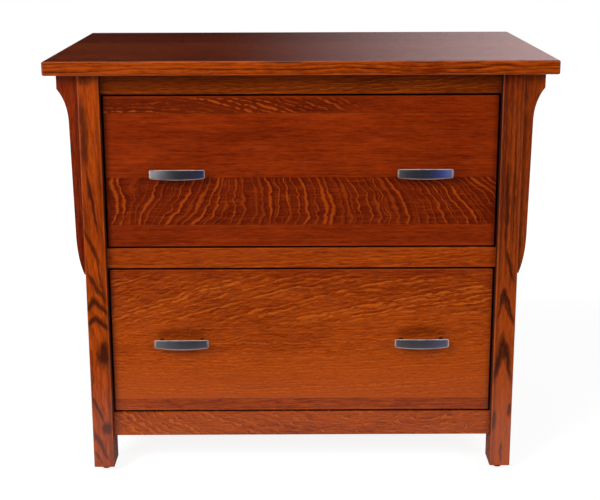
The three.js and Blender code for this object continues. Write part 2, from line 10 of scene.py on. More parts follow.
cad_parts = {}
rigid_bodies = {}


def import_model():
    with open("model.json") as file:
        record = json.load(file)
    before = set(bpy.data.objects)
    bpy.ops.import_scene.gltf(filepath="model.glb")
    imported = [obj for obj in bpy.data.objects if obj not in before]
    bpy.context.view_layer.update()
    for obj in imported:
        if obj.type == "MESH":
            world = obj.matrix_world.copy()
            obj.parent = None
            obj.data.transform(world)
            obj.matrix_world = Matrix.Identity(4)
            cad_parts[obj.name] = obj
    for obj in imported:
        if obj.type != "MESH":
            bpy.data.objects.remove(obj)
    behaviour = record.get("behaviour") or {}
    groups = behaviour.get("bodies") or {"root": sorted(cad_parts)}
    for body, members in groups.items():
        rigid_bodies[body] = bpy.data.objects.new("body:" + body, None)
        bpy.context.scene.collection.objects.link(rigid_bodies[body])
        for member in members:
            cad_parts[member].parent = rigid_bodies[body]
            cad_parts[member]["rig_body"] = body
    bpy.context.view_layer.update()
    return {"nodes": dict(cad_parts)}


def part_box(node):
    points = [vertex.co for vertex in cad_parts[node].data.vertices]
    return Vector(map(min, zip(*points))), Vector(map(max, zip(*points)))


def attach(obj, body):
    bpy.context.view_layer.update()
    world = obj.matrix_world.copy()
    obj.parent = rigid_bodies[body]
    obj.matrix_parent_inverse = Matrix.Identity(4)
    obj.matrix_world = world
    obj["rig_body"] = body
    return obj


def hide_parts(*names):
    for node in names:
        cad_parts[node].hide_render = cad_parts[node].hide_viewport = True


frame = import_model()

# Camera, at the photograph's place and angle
CAMERA_PLACE = (-0.00933, -2.54218, 1.03686)
CAMERA_PITCH = 14.6255  # degrees below the horizon
CAMERA_YAW = 0.1661
CAMERA_ROLL = -0.1706
FOCAL_LENGTH = 76.584
SENSOR_WIDTH = 36.0

# Studio
FLOOR_SIZE = 14.0
FLOOR_TONE = 0.86
FLOOR_SEEN = 0.29  # the floor's tone to the camera, where its glow makes up the rest of white
FLOOR_GLOW = 0.885
OPEN_FLOOR = (0.35, 1.2)  # how far from the object the floor turns to white
WHITE_REACH = (-0.85, -0.45)  # where the floor in front fades to black in reflections
FLOOR_MIRRORED = 0.75  # how bright the pale floor is in reflections
FLOOR_UNDER = 0.12  # and the share of that under the object
SKY_LEVEL = 0.22

# Screws: the head's diameter twice, and its height
PAN_HEAD = (0.0085, 0.0085, 0.0026)
BOLT_HEAD = (0.011, 0.011, 0.003)
FRONT_SCREW_SPREAD = 0.29
FRONT_SCREW_INSET = 0.055
SLIDE_SCREW_STATIONS = (-0.15, 0.0, 0.15)
SLIDE_SHEET = 0.0012

SLIDE_DARK_END = -0.203  # the slides are painted black in front of this, as shade in the side gaps

# Pulls
PULL_BOW = 0.007
PULL_THICKNESS = 0.0045
PULL_CORNER = 0.0034
PULL_END_HEIGHT = 0.0166
PULL_MIDDLE_HEIGHT = 0.0198
PULL_CHAMFER = 0.0022
PULL_CENTRES = 0.076
FOOT_RADIUS = 0.0055
FOOT_NECK = 0.0038
FOOT_FRONT = -0.268  # where the feet come out behind the bars, and the painted shade on them starts
BAR_STEPS = 40
# Rubbed rims of the pulls, partly painted highlight
RIM_RUB_AND_GLEAM = 2.4
END_RUB_AND_GLEAM = 0.5  # the rubbed rim, partly painted highlight, is this much wider at the ends

SMOOTH_ANGLE = math.radians(50)
FLAT_ANGLE = math.radians(1)
MERGE_DISTANCE = 1e-6
BAR_EASE = 0.0006


def srgb(red, green, blue):
    """A colour as it is seen, 0 to 255, turned into the light that shaders count with."""

    def light(value):
        value /= 255
        return value / 12.92 if value <= 0.04045 else ((value + 0.055) / 1.055) ** 2.4

    return light(red), light(green), light(blue), 1.0


# Node trees
class Tree:
    """Adds nodes to one tree, and sets each input to a value or joins it to another node's output."""

    def __init__(self, tree):
        self.tree = tree

    def add(self, kind, inputs=None, **settings):
        node = self.tree.nodes.new(kind)
        for name, value in settings.items():
            setattr(node, name, value)
        for name, value in (inputs or {}).items():
            self.feed(node.inputs[name], value)
        return node

    def feed(self, socket, value):
        if isinstance(value, bpy.types.NodeSocket):
            self.tree.links.new(value, socket)
        else:
            socket.default_value = value

    def math(self, operation, *values):
        node = self.add("ShaderNodeMath", dict(enumerate(values)), operation=operation)
        return node.outputs[0]

    def vector(self, operation, *values):
        node = self.add("ShaderNodeVectorMath", dict(enumerate(values)), operation=operation)
        return node.outputs[0]

    def ease(self, value, low, high, start=0.0, end=1.0):
        """Goes smoothly from start to end while value goes from low to high."""
        limits = {"Value": value, "From Min": low, "From Max": high, "To Min": start, "To Max": end}
        return self.add("ShaderNodeMapRange", limits, interpolation_type="SMOOTHSTEP").outputs["Result"]

    def mix(self, share, first, second, blend="MIX"):
        inputs = {0: share, 6: first, 7: second}
        return self.add("ShaderNodeMix", inputs, data_type="RGBA", blend_type=blend).outputs[2]

    def noise(self, vector, stretch=(1, 1, 1), detail=2.0, roughness=0.5, distortion=0.0):
        """Noise with so many lumps to the metre along each axis."""
        inputs = {
            "Vector": self.vector("MULTIPLY", vector, stretch),
            "Scale": 1.0,
            "Detail": detail,
            "Roughness": roughness,
            "Distortion": distortion,
        }
        return self.add("ShaderNodeTexNoise", inputs).outputs["Fac"]

    def parts(self, vector):
        return self.add("ShaderNodeSeparateXYZ", {"Vector": vector}).outputs

    def joined(self, x, y, z=0.0):
        return self.add("ShaderNodeCombineXYZ", {"X": x, "Y": y, "Z": z}).outputs["Vector"]

    def effect(self, group, **inputs):
        """Places a shared effect; an input's name is written with _ for its spaces."""
        named = {name.replace("_", " "): value for name, value in inputs.items()}
        return self.add("ShaderNodeGroup", named, node_tree=group).outputs


FLOAT = "NodeSocketFloat"
VECTOR = "NodeSocketVector"
COLOUR = "NodeSocketColor"
GEOMETRY = "NodeSocketGeometry"
MATERIAL = "NodeSocketMaterial"


def shared_effect(name, inputs, outputs, kind="ShaderNodeTree"):
    """An empty node group, with its tree, the values that come in and the sockets to fill."""
    group = bpy.data.node_groups.new(name, kind)
    for label, socket, *default in inputs:
        item = group.interface.new_socket(label, in_out="INPUT", socket_type=socket)
        if default:
            item.default_value = default[0]
    for label, socket in outputs:
        group.interface.new_socket(label, in_out="OUTPUT", socket_type=socket)
    tree = Tree(group)
    return group, tree, tree.add("NodeGroupInput").outputs, tree.add("NodeGroupOutput").inputs


SEAM_COUNT = 4
SEAM_FAR = 9.0  # a seam out here is no seam


def make_glued_boards():
    """Boards glued edge to edge: each has its own tone and its own stretch of grain."""
    seams = [(f"Seam {i + 1}", FLOAT, SEAM_FAR) for i in range(SEAM_COUNT)]
    tones = [(f"Tone {i + 1}", FLOAT, 0.5) for i in range(SEAM_COUNT + 1)]
    inputs = [("Across", FLOAT), ("Seed", FLOAT), *seams, *tones]
    outputs = [("Shift", VECTOR), ("Tone", FLOAT), ("Seam", FLOAT)]
    group, tree, given, made = shared_effect("glued boards", inputs, outputs)
    tone = given["Tone 1"]
    count = given["Seed"]
    line = None
    for i in range(SEAM_COUNT):
        seam = given[f"Seam {i + 1}"]
        past = tree.math("GREATER_THAN", given["Across"], seam)
        step = tree.math("SUBTRACT", given[f"Tone {i + 2}"], given[f"Tone {i + 1}"])
        tone = tree.math("MULTIPLY_ADD", past, step, tone)
        count = tree.math("ADD", count, past)
        off = tree.math("ABSOLUTE", tree.math("SUBTRACT", given["Across"], seam))
        mark = tree.ease(off, 0.0002, 0.0009, 1.0, 0.0)
        line = mark if line is None else tree.math("MAXIMUM", line, mark)
    chance = tree.add("ShaderNodeTexWhiteNoise", {"W": count}, noise_dimensions="1D")
    tree.feed(made["Shift"], tree.vector("SUBTRACT", chance.outputs["Color"], (0.5, 0.5, 0.5)))
    tree.feed(made["Tone"], tone)
    tree.feed(made["Seam"], line)
    return group


def make_growth_rings():
    """Dark porous lines where a board cuts the tree's rings, round a pith that lies and leans as it is told."""
    inputs = [
        ("Vector", VECTOR),
        ("Shift", VECTOR),
        ("Pith Across", FLOAT),
        ("Pith Depth", FLOAT),
        ("Lean Across", FLOAT),
        ("Lean Depth", FLOAT),
        ("Spacing", FLOAT, 0.004),
        ("Wander", FLOAT, 0.004),
        ("Push", FLOAT),
    ]
    group, tree, given, made = shared_effect("growth rings", inputs, [("Ring", FLOAT), ("Band", FLOAT)])
    along, across, depth = tree.parts(given["Vector"])
    place = tree.vector("ADD", given["Vector"], tree.vector("MULTIPLY", given["Shift"], (20, 20, 20)))
    pith_across = tree.math("MULTIPLY_ADD", along, given["Lean Across"], given["Pith Across"])
    pith_depth = tree.math("MULTIPLY_ADD", along, given["Lean Depth"], given["Pith Depth"])
    off = tree.joined(
        tree.math("SUBTRACT", across, pith_across),
        tree.math("SUBTRACT", depth, pith_depth),
    )
    radius = tree.add("ShaderNodeVectorMath", {0: off}, operation="LENGTH").outputs["Value"]
    slow = tree.noise(place, (4, 14, 14), 2.0)
    quick = tree.noise(place, (10, 90, 90), 2.0)
    sway = tree.math("MULTIPLY_ADD", quick, 0.28, slow)
    radius = tree.math("MULTIPLY_ADD", tree.math("SUBTRACT", sway, 0.64), given["Wander"], radius)
    radius = tree.math("ADD", radius, given["Push"])
    turn = tree.math("DIVIDE", radius, given["Spacing"])
    year = tree.math("FLOOR", turn)
    part = tree.math("FRACT", turn)
    after = tree.math("POWER", tree.math("SUBTRACT", 1.0, part), 2.0)
    before = tree.ease(part, 0.9, 1.0)
    chance = tree.add("ShaderNodeTexWhiteNoise", {"W": year}, noise_dimensions="1D").outputs["Value"]
    late = tree.math("MULTIPLY", tree.math("MAXIMUM", after, before), tree.ease(chance, 0.0, 1.0, 0.5, 1.0))
    tree.feed(made["Ring"], tree.math("MULTIPLY", late, tree.ease(slow, 0.25, 0.6, 0.6, 1.0)))
    tree.feed(made["Band"], chance)
    return group


KNOT_DARKNESS = 0.95


def make_knot():
    """A dark knot, and how far it pushes the rings round it aside."""
    inputs = [("Vector", VECTOR), ("Place", VECTOR), ("Size", VECTOR, (0.02, 0.02, 0.008)), ("Force", FLOAT, 0.01)]
    group, tree, given, made = shared_effect("knot", inputs, [("Knot", FLOAT), ("Push", FLOAT)])
    off = tree.vector("DIVIDE", tree.vector("SUBTRACT", given["Vector"], given["Place"]), given["Size"])
    ragged = tree.noise(given["Vector"], (60, 160, 160), 2.0)
    reach = tree.add("ShaderNodeVectorMath", {0: off}, operation="LENGTH").outputs["Value"]
    reach = tree.math("MULTIPLY_ADD", tree.math("SUBTRACT", ragged, 0.5), 0.9, reach)
    tree.feed(made["Knot"], tree.ease(reach, 0.2, 1.25, KNOT_DARKNESS, 0.0))
    tree.feed(made["Push"], tree.math("MULTIPLY", tree.ease(reach, 0.4, 4.0, 1.0, 0.0), given["Force"]))
    return group


FOLD_ROUNDING = 0.004
STROKE_DEPTH = (0.008, 0.026)  # where strokes fade into the board


def make_grain_stroke():
    """A broad dark streak along a board or, folded, two that meet in a point where a ring is cut at a slant. Some
    streaks are painted shade rather than grain.
    """
    inputs = [
        ("Vector", VECTOR),
        ("Place", VECTOR),
        ("Lean", FLOAT),
        ("Length", FLOAT, 0.05),
        ("Width", FLOAT, 0.003),
        ("Fold", FLOAT),
    ]
    group, tree, given, made = shared_effect("grain stroke", inputs, [("Stroke", FLOAT)])
    along, depth, side = tree.parts(tree.vector("SUBTRACT", given["Vector"], given["Place"]))
    squared = tree.math("MULTIPLY_ADD", side, side, FOLD_ROUNDING**2)
    folded = tree.math("SUBTRACT", tree.math("SQRT", squared), FOLD_ROUNDING)
    side = tree.math("MULTIPLY_ADD", tree.math("SUBTRACT", folded, side), given["Fold"], side)
    wave = tree.math("SUBTRACT", tree.noise(given["Vector"], (24, 70, 70), 2.0, 0.6), 0.5)
    off = tree.math("MULTIPLY_ADD", wave, 0.013, side)
    off = tree.math("SUBTRACT", off, tree.math("MULTIPLY", along, given["Lean"]))
    reach = tree.math("DIVIDE", tree.math("ABSOLUTE", along), given["Length"])
    width = tree.math("MULTIPLY", given["Width"], tree.ease(reach, 0.0, 1.0, 1.0, 0.45))
    share = tree.math("DIVIDE", tree.math("ABSOLUTE", off), width)
    grainy = tree.noise(given["Vector"], (40, 420, 420), 2.0, 0.6)
    share = tree.math("MULTIPLY_ADD", tree.math("SUBTRACT", grainy, 0.5), 1.0, share)
    ends = tree.math("MULTIPLY", tree.ease(reach, 0.4, 1.0, 1.0, 0.0), tree.ease(depth, *STROKE_DEPTH, 1.0, 0.0))
    tree.feed(made["Stroke"], tree.math("MULTIPLY", tree.ease(share, 0.1, 1.7, 1.0, 0.0), ends))
    return group


def make_oak_grain():
    """Streaks along the grain, from broad to fine, and short open pores."""
    inputs = [("Vector", VECTOR), ("Shift", VECTOR)]
    outputs = [("Streak", FLOAT), ("Fine", FLOAT), ("Pores", FLOAT), ("Cloud", FLOAT)]
    group, tree, given, made = shared_effect("oak grain", inputs, outputs)
    place = tree.vector("ADD", given["Vector"], tree.vector("MULTIPLY", given["Shift"], (20, 20, 20)))
    tree.feed(made["Streak"], tree.noise(place, (12, 170, 170), 3.0, 0.6, 0.3))
    tree.feed(made["Fine"], tree.noise(place, (40, 440, 440), 3.0, 0.7))
    pores = tree.noise(place, (85, 1500, 1500), 1.0, 0.5)
    tree.feed(made["Pores"], tree.ease(pores, 0.58, 0.7))
    tree.feed(made["Cloud"], tree.noise(place, (5, 16, 16), 2.0, 0.5))
    return group


def make_ray_fleck():
    """Bright ribbons where a quarter-sawn face cuts along the rays. Each has its own breadth, tone and sway."""
    inputs = [
        ("Across", FLOAT),
        ("Along", FLOAT),
        ("Spacing", FLOAT, 0.01),
        ("Length", FLOAT, 0.08),
        ("Breadth", FLOAT, 0.2),
        ("Broken", FLOAT),
        ("Seed", FLOAT),
    ]
    group, tree, given, made = shared_effect("ray fleck", inputs, [("Fleck", FLOAT), ("Shade", FLOAT)])
    turn = tree.math("DIVIDE", given["Across"], given["Spacing"])
    count = tree.math("ADD", tree.math("FLOOR", turn), tree.math("MULTIPLY", given["Seed"], 31.7))
    chance = tree.add("ShaderNodeTexWhiteNoise", {"W": count}, noise_dimensions="1D").outputs["Color"]
    broad, bright, aside = tree.parts(chance)
    run = tree.math("DIVIDE", given["Along"], given["Length"])
    own = tree.joined(tree.math("MULTIPLY", count, 3.7), run, given["Seed"])
    sway = tree.math("SUBTRACT", tree.noise(own, (1, 1, 1), 1.5), 0.5)
    middle = tree.math("MULTIPLY_ADD", tree.math("SUBTRACT", aside, 0.5), 0.25, 0.5)
    middle = tree.math("MULTIPLY_ADD", sway, 0.55, middle)
    off = tree.math("SUBTRACT", tree.math("FRACT", turn), middle)
    swell = tree.noise(tree.vector("ADD", own, (7.3, 0, 0)), (1, 1.9, 1), 1.0)
    swell = tree.ease(swell, 0.36, 0.6, tree.math("SUBTRACT", 1.0, given["Broken"]), 1.2)
    breadth = tree.math("MULTIPLY", tree.ease(broad, 0.0, 1.0, 0.35, 1.0), tree.math("MULTIPLY", swell, given["Breadth"]))
    breadth = tree.math("MAXIMUM", breadth, 0.001)
    share = tree.math("DIVIDE", off, breadth)
    ribbon = tree.ease(tree.math("ABSOLUTE", share), 0.0, 1.0, 1.0, 0.0)
    tree.feed(made["Fleck"], tree.math("MULTIPLY", ribbon, tree.ease(bright, 0.0, 1.0, 0.25, 1.0)))
    side = tree.ease(share, 0.5, 1.1)
    tree.feed(made["Shade"], tree.math("MULTIPLY", side, tree.ease(share, 1.2, 3.4, 1.0, 0.0)))
    return group


def make_eased_edges():
    """Marks what lies close to an edge of a box, where the finish is rubbed thin and partly brightened as a painted
    highlight.
    """
    inputs = [("Vector", VECTOR), ("Low", VECTOR), ("High", VECTOR), ("Reach", FLOAT, 0.003)]
    group, tree, given, made = shared_effect("eased edges", inputs, [("Edge", FLOAT)])
    low = tree.vector("SUBTRACT", given["Vector"], given["Low"])
    high = tree.vector("SUBTRACT", given["High"], given["Vector"])
    x, y, z = tree.parts(tree.vector("MINIMUM", low, high))
    least = tree.math("MINIMUM", tree.math("MINIMUM", x, y), z)
    most = tree.math("MAXIMUM", tree.math("MAXIMUM", x, y), z)
    total = tree.math("ADD", tree.math("ADD", x, y), z)
    second = tree.math("SUBTRACT", tree.math("SUBTRACT", total, least), most)
    tree.feed(made["Edge"], tree.ease(second, 0.0, given["Reach"], 1.0, 0.0))
    return group


def make_stain():
    """Stain and lacquer over the figure: colour, roughness and the height of the open grain. The colour also carries
    painted shade, and painted highlight along the edges.
    """
    inputs = [
        # Ring also carries the knots and strokes, some of them painted shade
        ("Ring", FLOAT),
        ("Band", FLOAT, 0.5),
        ("Streak", FLOAT, 0.5),
        ("Fine", FLOAT, 0.5),
        ("Pores", FLOAT),
        ("Cloud", FLOAT, 0.5),
        ("Fleck", FLOAT),
        ("Shade", FLOAT),
        ("Tone", FLOAT, 0.5),
        ("Seam", FLOAT),
        ("Edge", FLOAT),
        ("Wear", FLOAT, 0.4),
        ("Contrast", FLOAT, 1.35),
        ("Deep", COLOUR),
        ("Light", COLOUR),
        ("Line", COLOUR),
        ("Ray", COLOUR),
    ]
    outputs = [("Color", COLOUR), ("Roughness", FLOAT), ("Height", FLOAT)]
    group, tree, given, made = shared_effect("stain", inputs, outputs)
    level = given["Tone"]
    for name, weight in (("Streak", 0.5), ("Cloud", 0.7), ("Band", 0.15), ("Fine", given["Contrast"])):
        level = tree.math("MULTIPLY_ADD", tree.math("SUBTRACT", given[name], 0.5), weight, level)
    level = tree.ease(level, 0.0, 1.0)
    colour = tree.mix(level, given["Deep"], given["Light"])
    colour = tree.mix(given["Ring"], colour, given["Line"])
    colour = tree.mix(tree.math("MULTIPLY", given["Pores"], 0.35), colour, given["Line"])
    colour = tree.mix(given["Shade"], colour, given["Line"])
    colour = tree.mix(given["Fleck"], colour, given["Ray"])
    # Edges lightened: rubbed stain, and partly a painted highlight
    colour = tree.mix(tree.math("MULTIPLY", given["Edge"], given["Wear"]), colour, given["Ray"])
    colour = tree.mix(tree.math("MULTIPLY", given["Seam"], 0.3), colour, given["Line"])
    tree.feed(made["Color"], colour)
    rough = tree.math("MULTIPLY_ADD", given["Pores"], 0.08, 0.13)
    rough = tree.math("MULTIPLY_ADD", given["Fleck"], -0.03, rough)
    rough = tree.math("MULTIPLY_ADD", given["Cloud"], 0.06, rough)
    tree.feed(made["Roughness"], rough)
    height = tree.math("MULTIPLY_ADD", given["Pores"], -0.7, given["Fine"])
    height = tree.math("MULTIPLY_ADD", given["Ring"], -0.5, height)
    tree.feed(made["Height"], height)
    return group


GLUED_BOARDS = make_glued_boards()
GROWTH_RINGS = make_growth_rings()
KNOT = make_knot()
GRAIN_STROKE = make_grain_stroke()
OAK_GRAIN = make_oak_grain()
RAY_FLECK = make_ray_fleck()
EASED_EDGES = make_eased_edges()
STAIN = make_stain()


# Materials
def new_material(name):
    material = bpy.data.materials.new(name)
    material.use_nodes = True
    material.node_tree.nodes.clear()
    tree = Tree(material.node_tree)
    shader = tree.add("ShaderNodeBsdfPrincipled")
    tree.add("ShaderNodeOutputMaterial", {"Surface": shader.outputs["BSDF"]})
    return material, tree, shader


def bump(tree, shader, height, distance, strength=1.0):
    inputs = {"Height": height, "Distance": distance, "Strength": strength}
    tree.feed(shader.inputs["Normal"], tree.add("ShaderNodeBump", inputs).outputs["Normal"])


# The turn that lays a board's grain along the first axis
TURNS = {
    "x": Matrix.Identity(3),
    "y": Matrix.Rotation(math.radians(-90), 3, "Z"),
    "z": Matrix.Rotation(math.radians(90), 3, "Y"),
}


def board_space(tree, node, along):
    """A board's own coordinates: along the grain first, and 0 at its middle."""
    low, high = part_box(node)
    turn = TURNS[along]
    place = tree.add("ShaderNodeTexCoord").outputs["Object"]
    inputs = {
        "Vector": place,
        "Rotation": tuple(turn.to_euler()),
        "Location": tuple(-(turn @ ((low + high) / 2))),
    }
    return place, tree.add("ShaderNodeMapping", inputs, vector_type="POINT").outputs["Vector"]


RED_BROWN = {
    "Deep": srgb(96, 22, 2),
    "Light": srgb(160, 54, 5),
    "Line": srgb(56, 12, 3),
    "Ray": srgb(186, 76, 12),
}
ORANGE_BROWN = {
    "Deep": srgb(118, 34, 3),
    "Light": srgb(180, 74, 8),
    "Line": srgb(76, 20, 3),
    "Ray": srgb(206, 100, 26),
}
TOP_BROWN = {**ORANGE_BROWN, "Line": srgb(54, 12, 2)}
# The top rail's brown: less red than the other rails, and darker as painted shade under the top's overhang
SHADED_RAIL_BROWN = {
    "Deep": srgb(92, 28, 2),
    "Light": srgb(152, 62, 4),
    "Line": srgb(50, 14, 2),
    "Ray": srgb(172, 84, 14),
}
POST_BROWN = {
    "Deep": srgb(122, 36, 3),
    "Light": srgb(196, 80, 3),
    "Line": srgb(52, 18, 8),
    "Ray": srgb(196, 94, 20),
}
DARK_POST_BROWN = {
    "Deep": srgb(104, 34, 7),
    "Light": srgb(178, 74, 14),
    "Line": srgb(46, 16, 10),
    "Ray": srgb(180, 84, 24),
}


def stained_oak(
    node,
    along,
    stain,
    rings,
    depth=0.6,
    seams=(),
    tones=(0.5,),
    drift=(0, 0),
    wear=0.1,
    across="Y",
    flecks=(),
    knots=(),
    strokes=(),
    calm=None,
    framed=False,
    contrast=1.35,
    hidden=None,
    seed=0,
):
    """Stained oak for one board. Rings, flecks and strokes say how it was sawn from the log; some strokes, the framed
    fronts' edges and the posts' inner faces carry painted shade.
    """
    material, tree, shader = new_material("oak_" + node)
    place, board = board_space(tree, node, along)
    parts = tree.parts(board)
    glue = {f"Seam_{i + 1}": seam for i, seam in enumerate(seams)}
    glue.update({f"Tone_{i + 1}": tone for i, tone in enumerate(tones)})
    boards = tree.effect(GLUED_BOARDS, Across=parts[across], Seed=float(seed), **glue)
    grain = tree.effect(OAK_GRAIN, Vector=board, Shift=boards["Shift"])
    dark_marks_and_shade, push = 0.0, 0.0
    for knot_place, knot_size, force in knots:
        knot = tree.effect(KNOT, Vector=board, Place=knot_place, Size=knot_size, Force=force)
        dark_marks_and_shade = tree.math("MAXIMUM", dark_marks_and_shade, knot["Knot"])
        push = tree.math("ADD", push, knot["Push"])
    for stroke_place, lean, length, width, strength, fold in strokes:
        stroke = tree.effect(
            GRAIN_STROKE, Vector=board, Place=stroke_place, Lean=lean, Length=length, Width=width, Fold=fold
        )
        dark_marks_and_shade = tree.math("MAXIMUM", dark_marks_and_shade, tree.math("MULTIPLY", stroke["Stroke"], strength))
    ring = tree.effect(GROWTH_RINGS, Vector=board, Shift=boards["Shift"], Push=push, **rings)
    ring_depth = depth if calm is None else tree.ease(parts["X"], *calm, depth)
    figure_and_shade = tree.math("MAXIMUM", tree.math("MULTIPLY", ring["Ring"], ring_depth), dark_marks_and_shade)
    low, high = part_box(node)
    edge = tree.effect(EASED_EDGES, Vector=place, Low=tuple(low), High=tuple(high))
    tone = tree.math("MULTIPLY_ADD", parts["X"], drift[0], boards["Tone"])
    tone = tree.math("MULTIPLY_ADD", parts[across], drift[1], tone)
    fleck, shade = 0.0, 0.0
    for make in flecks:
        bright, dark = make(tree, parts["X"], parts[across], board)
        fleck = tree.math("MAXIMUM", fleck, bright)
        shade = tree.math("MAXIMUM", shade, dark)
    if framed:
        shade = tree.math("MAXIMUM", shade, frame_shade(tree, place, low, high))
    bare_shaded = 0.0
    if hidden is not None:
        bare_shaded = bare_shaded_face(tree, place, *hidden)
        # Painted shade on the posts' inner faces beside the drawers
        shade = tree.math("MAXIMUM", shade, tree.math("MULTIPLY", bare_shaded, GAP_SHADE))
        shade = tree.math("MAXIMUM", shade, post_rim(tree, place))
    finish = tree.effect(
        STAIN,
        Ring=figure_and_shade,
        Band=ring["Band"],
        Streak=grain["Streak"],
        Fine=grain["Fine"],
        Pores=grain["Pores"],
        Cloud=grain["Cloud"],
        Fleck=fleck,
        Shade=shade,
        Tone=tone,
        Seam=boards["Seam"],
        Edge=edge["Edge"],
        Wear=wear,
        Contrast=contrast,
        **stain,
    )
    colour = finish["Color"]
    if hidden is not None:
        # Painted reflection of the pale floor: the front posts greyer and pinker towards their feet
        colour = tree.mix(tree.ease(tree.parts(place)["Z"], *FLOOR_SHEEN_REACH, FLOOR_SHEEN_SHARE, 0.0), colour, FLOOR_SHEEN_TINT)
    tree.feed(shader.inputs["Base Color"], colour)
    tree.feed(shader.inputs["Roughness"], tree.math("MULTIPLY_ADD", bare_shaded, BARE_ROUGHNESS, finish["Roughness"]))
    shader.inputs["Specular IOR Level"].default_value = 0.33
    bump(tree, shader, finish["Height"], 0.00015, 0.6)
    return material


FLOOR_SHEEN_TINT = srgb(164, 96, 80)
FLOOR_SHEEN_SHARE = 0.2
FLOOR_SHEEN_REACH = (0.0, 0.28)  # the heights between which the painted reflection of the floor on the posts fades
GAP_SHADE = 0.85  # how dark the painted shade is on the edges in the gaps and on the posts' inner faces
# Painted shade towards a front's ends beside the posts: how dark, and how far in it reaches
RIM_SHADE = 0.4
RIM_REACH = 0.012


def frame_shade(tree, place, low, high):
    """Painted shade on a front's edges, which face into the gaps, and towards its ends beside the posts."""
    x, y, _ = tree.parts(place)
    shaded_behind = tree.ease(y, low.y + 0.0012, low.y + 0.004, 0.0, GAP_SHADE)
    rim = tree.ease(tree.math("ABSOLUTE", x), high.x - RIM_REACH, high.x, 0.0, RIM_SHADE)
    return tree.math("MAXIMUM", shaded_behind, rim)


POST_RIM = (0.3625, 0.365, 0.373)  # where the dark band along the posts starts, is darkest and ends
POST_RIM_SHADE = 0.4
BARE_ROUGHNESS = 0.6  # how much rougher wood without lacquer is


def post_rim(tree, place):
    """A dark band along a post, just inside its edge beside the drawers."""
    start, middle, end = POST_RIM
    x = tree.math("ABSOLUTE", tree.parts(place)["X"])
    rise = tree.ease(x, start, middle, 0.0, POST_RIM_SHADE)
    return tree.math("MULTIPLY", rise, tree.ease(x, middle, end, 1.0, 0.0))


def bare_shaded_face(tree, place, width, height):
    """The inner faces of the posts beside the drawers, closer than width to the middle and above the open legs. They
    are left rougher and given painted shade.
    """
    x, _, z = tree.parts(place)
    inside = tree.ease(tree.math("ABSOLUTE", x), width, width + 0.0005, 1.0, 0.0)
    return tree.math("MULTIPLY", inside, tree.math("GREATER_THAN", z, height))


FLECK_SHADE = 0.6  # how dark the wood is beside a fleck


def fleck_band(
    low, high, lines, spacing, length, breadth, broken, strength, seed, soft=0.0012, ground=0.0, fade=None
):
    """Flecks between two heights of a board, on a ground so dark, and fading between two places along it.
    lines bends the board's coordinates to run across and along them."""

    def make(tree, along, across, board):
        slow = tree.math("SUBTRACT", tree.noise(board, (14, 30, 30), 2.0), 0.5)
        quick = tree.math("SUBTRACT", tree.noise(board, (55, 90, 90), 2.0), 0.5)
        wiggle = tree.math("MULTIPLY_ADD", quick, 0.5, slow)
        bent, run = lines(tree, along, across, wiggle)
        fleck = tree.effect(
            RAY_FLECK,
            Across=bent,
            Along=run,
            Spacing=spacing,
            Length=length,
            Breadth=breadth,
            Broken=broken,
            Seed=float(seed),
        )
        above = tree.ease(across, low - soft, low + soft)
        below = tree.ease(across, high - soft, high + soft, 1.0, 0.0)
        inside = tree.math("MULTIPLY", tree.math("MULTIPLY", above, below), strength)
        if fade:
            inside = tree.math("MULTIPLY", inside, tree.ease(along, *fade, 1.0, 0.0))
        shade = tree.math("MAXIMUM", tree.math("MULTIPLY", fleck["Shade"], FLECK_SHADE), ground)
        return tree.math("MULTIPLY", fleck["Fleck"], inside), tree.math("MULTIPLY", shade, inside)

    return make


# From where to where along the board the lean of its flecks changes, and by how much
LEANS = [(-0.335, -0.275, 0.6), (-0.175, -0.1, -0.62), (-0.08, 0.36, -0.85)]


def standing_flecks(middle, leans, bow, bow_drift, wave):
    """Flecks that stand across the grain. They lean and bow more or less from one end of the board to the other."""

    def lines(tree, along, across, wiggle):
        rise = tree.math("SUBTRACT", across, middle)
        bowing = tree.math("MULTIPLY_ADD", along, bow_drift, bow)
        slope = tree.math("MULTIPLY", rise, bowing)
        for start, end, change in leans:
            slope = tree.math("ADD", slope, tree.ease(along, start, end, 0.0, change))
        bent = tree.math("SUBTRACT", along, tree.math("MULTIPLY", rise, slope))
        return tree.math("MULTIPLY_ADD", wiggle, wave, bent), across

    return lines


def rising_flecks(slope, slope_drift, wave):
    """Flecks that run along the grain and climb to the right, less steeply as they go."""

    def lines(tree, along, across, wiggle):
        climb = tree.math("MULTIPLY_ADD", along, slope_drift, slope)
        bent = tree.math("SUBTRACT", across, tree.math("MULTIPLY", along, climb))
        return tree.math("MULTIPLY_ADD", wiggle, wave, bent), along

    return lines


# How each board was sawn
QUARTER_SAWN = {"Pith_Across": 0.0, "Pith_Depth": -0.35, "Spacing": 0.0034, "Wander": 0.006}
LEFT_POST = {"Pith_Depth": -0.16, "Lean_Depth": 0.12, "Spacing": 0.0125, "Wander": 0.035}
RIGHT_POST = {"Pith_Depth": 0.2, "Spacing": 0.009, "Wander": 0.02}
POST_FACE = -0.0285  # from the middle of a front post
BARE_SHADED_INSIDE = (0.3611, 0.071)  # the inner faces of the posts, rougher and with painted shade, and the height of the open legs


def on_post(up, left):
    """A place on a front post's face, from its middle."""
    return (up, POST_FACE, left)


# Where each knot is, its half size and how far it pushes the rings
LEFT_KNOTS = [
    (on_post(-0.149, -0.0075), (0.038, 0.02, 0.0165), 0.02),
    (on_post(-0.297, -0.009), (0.019, 0.02, 0.015), 0.012),
]
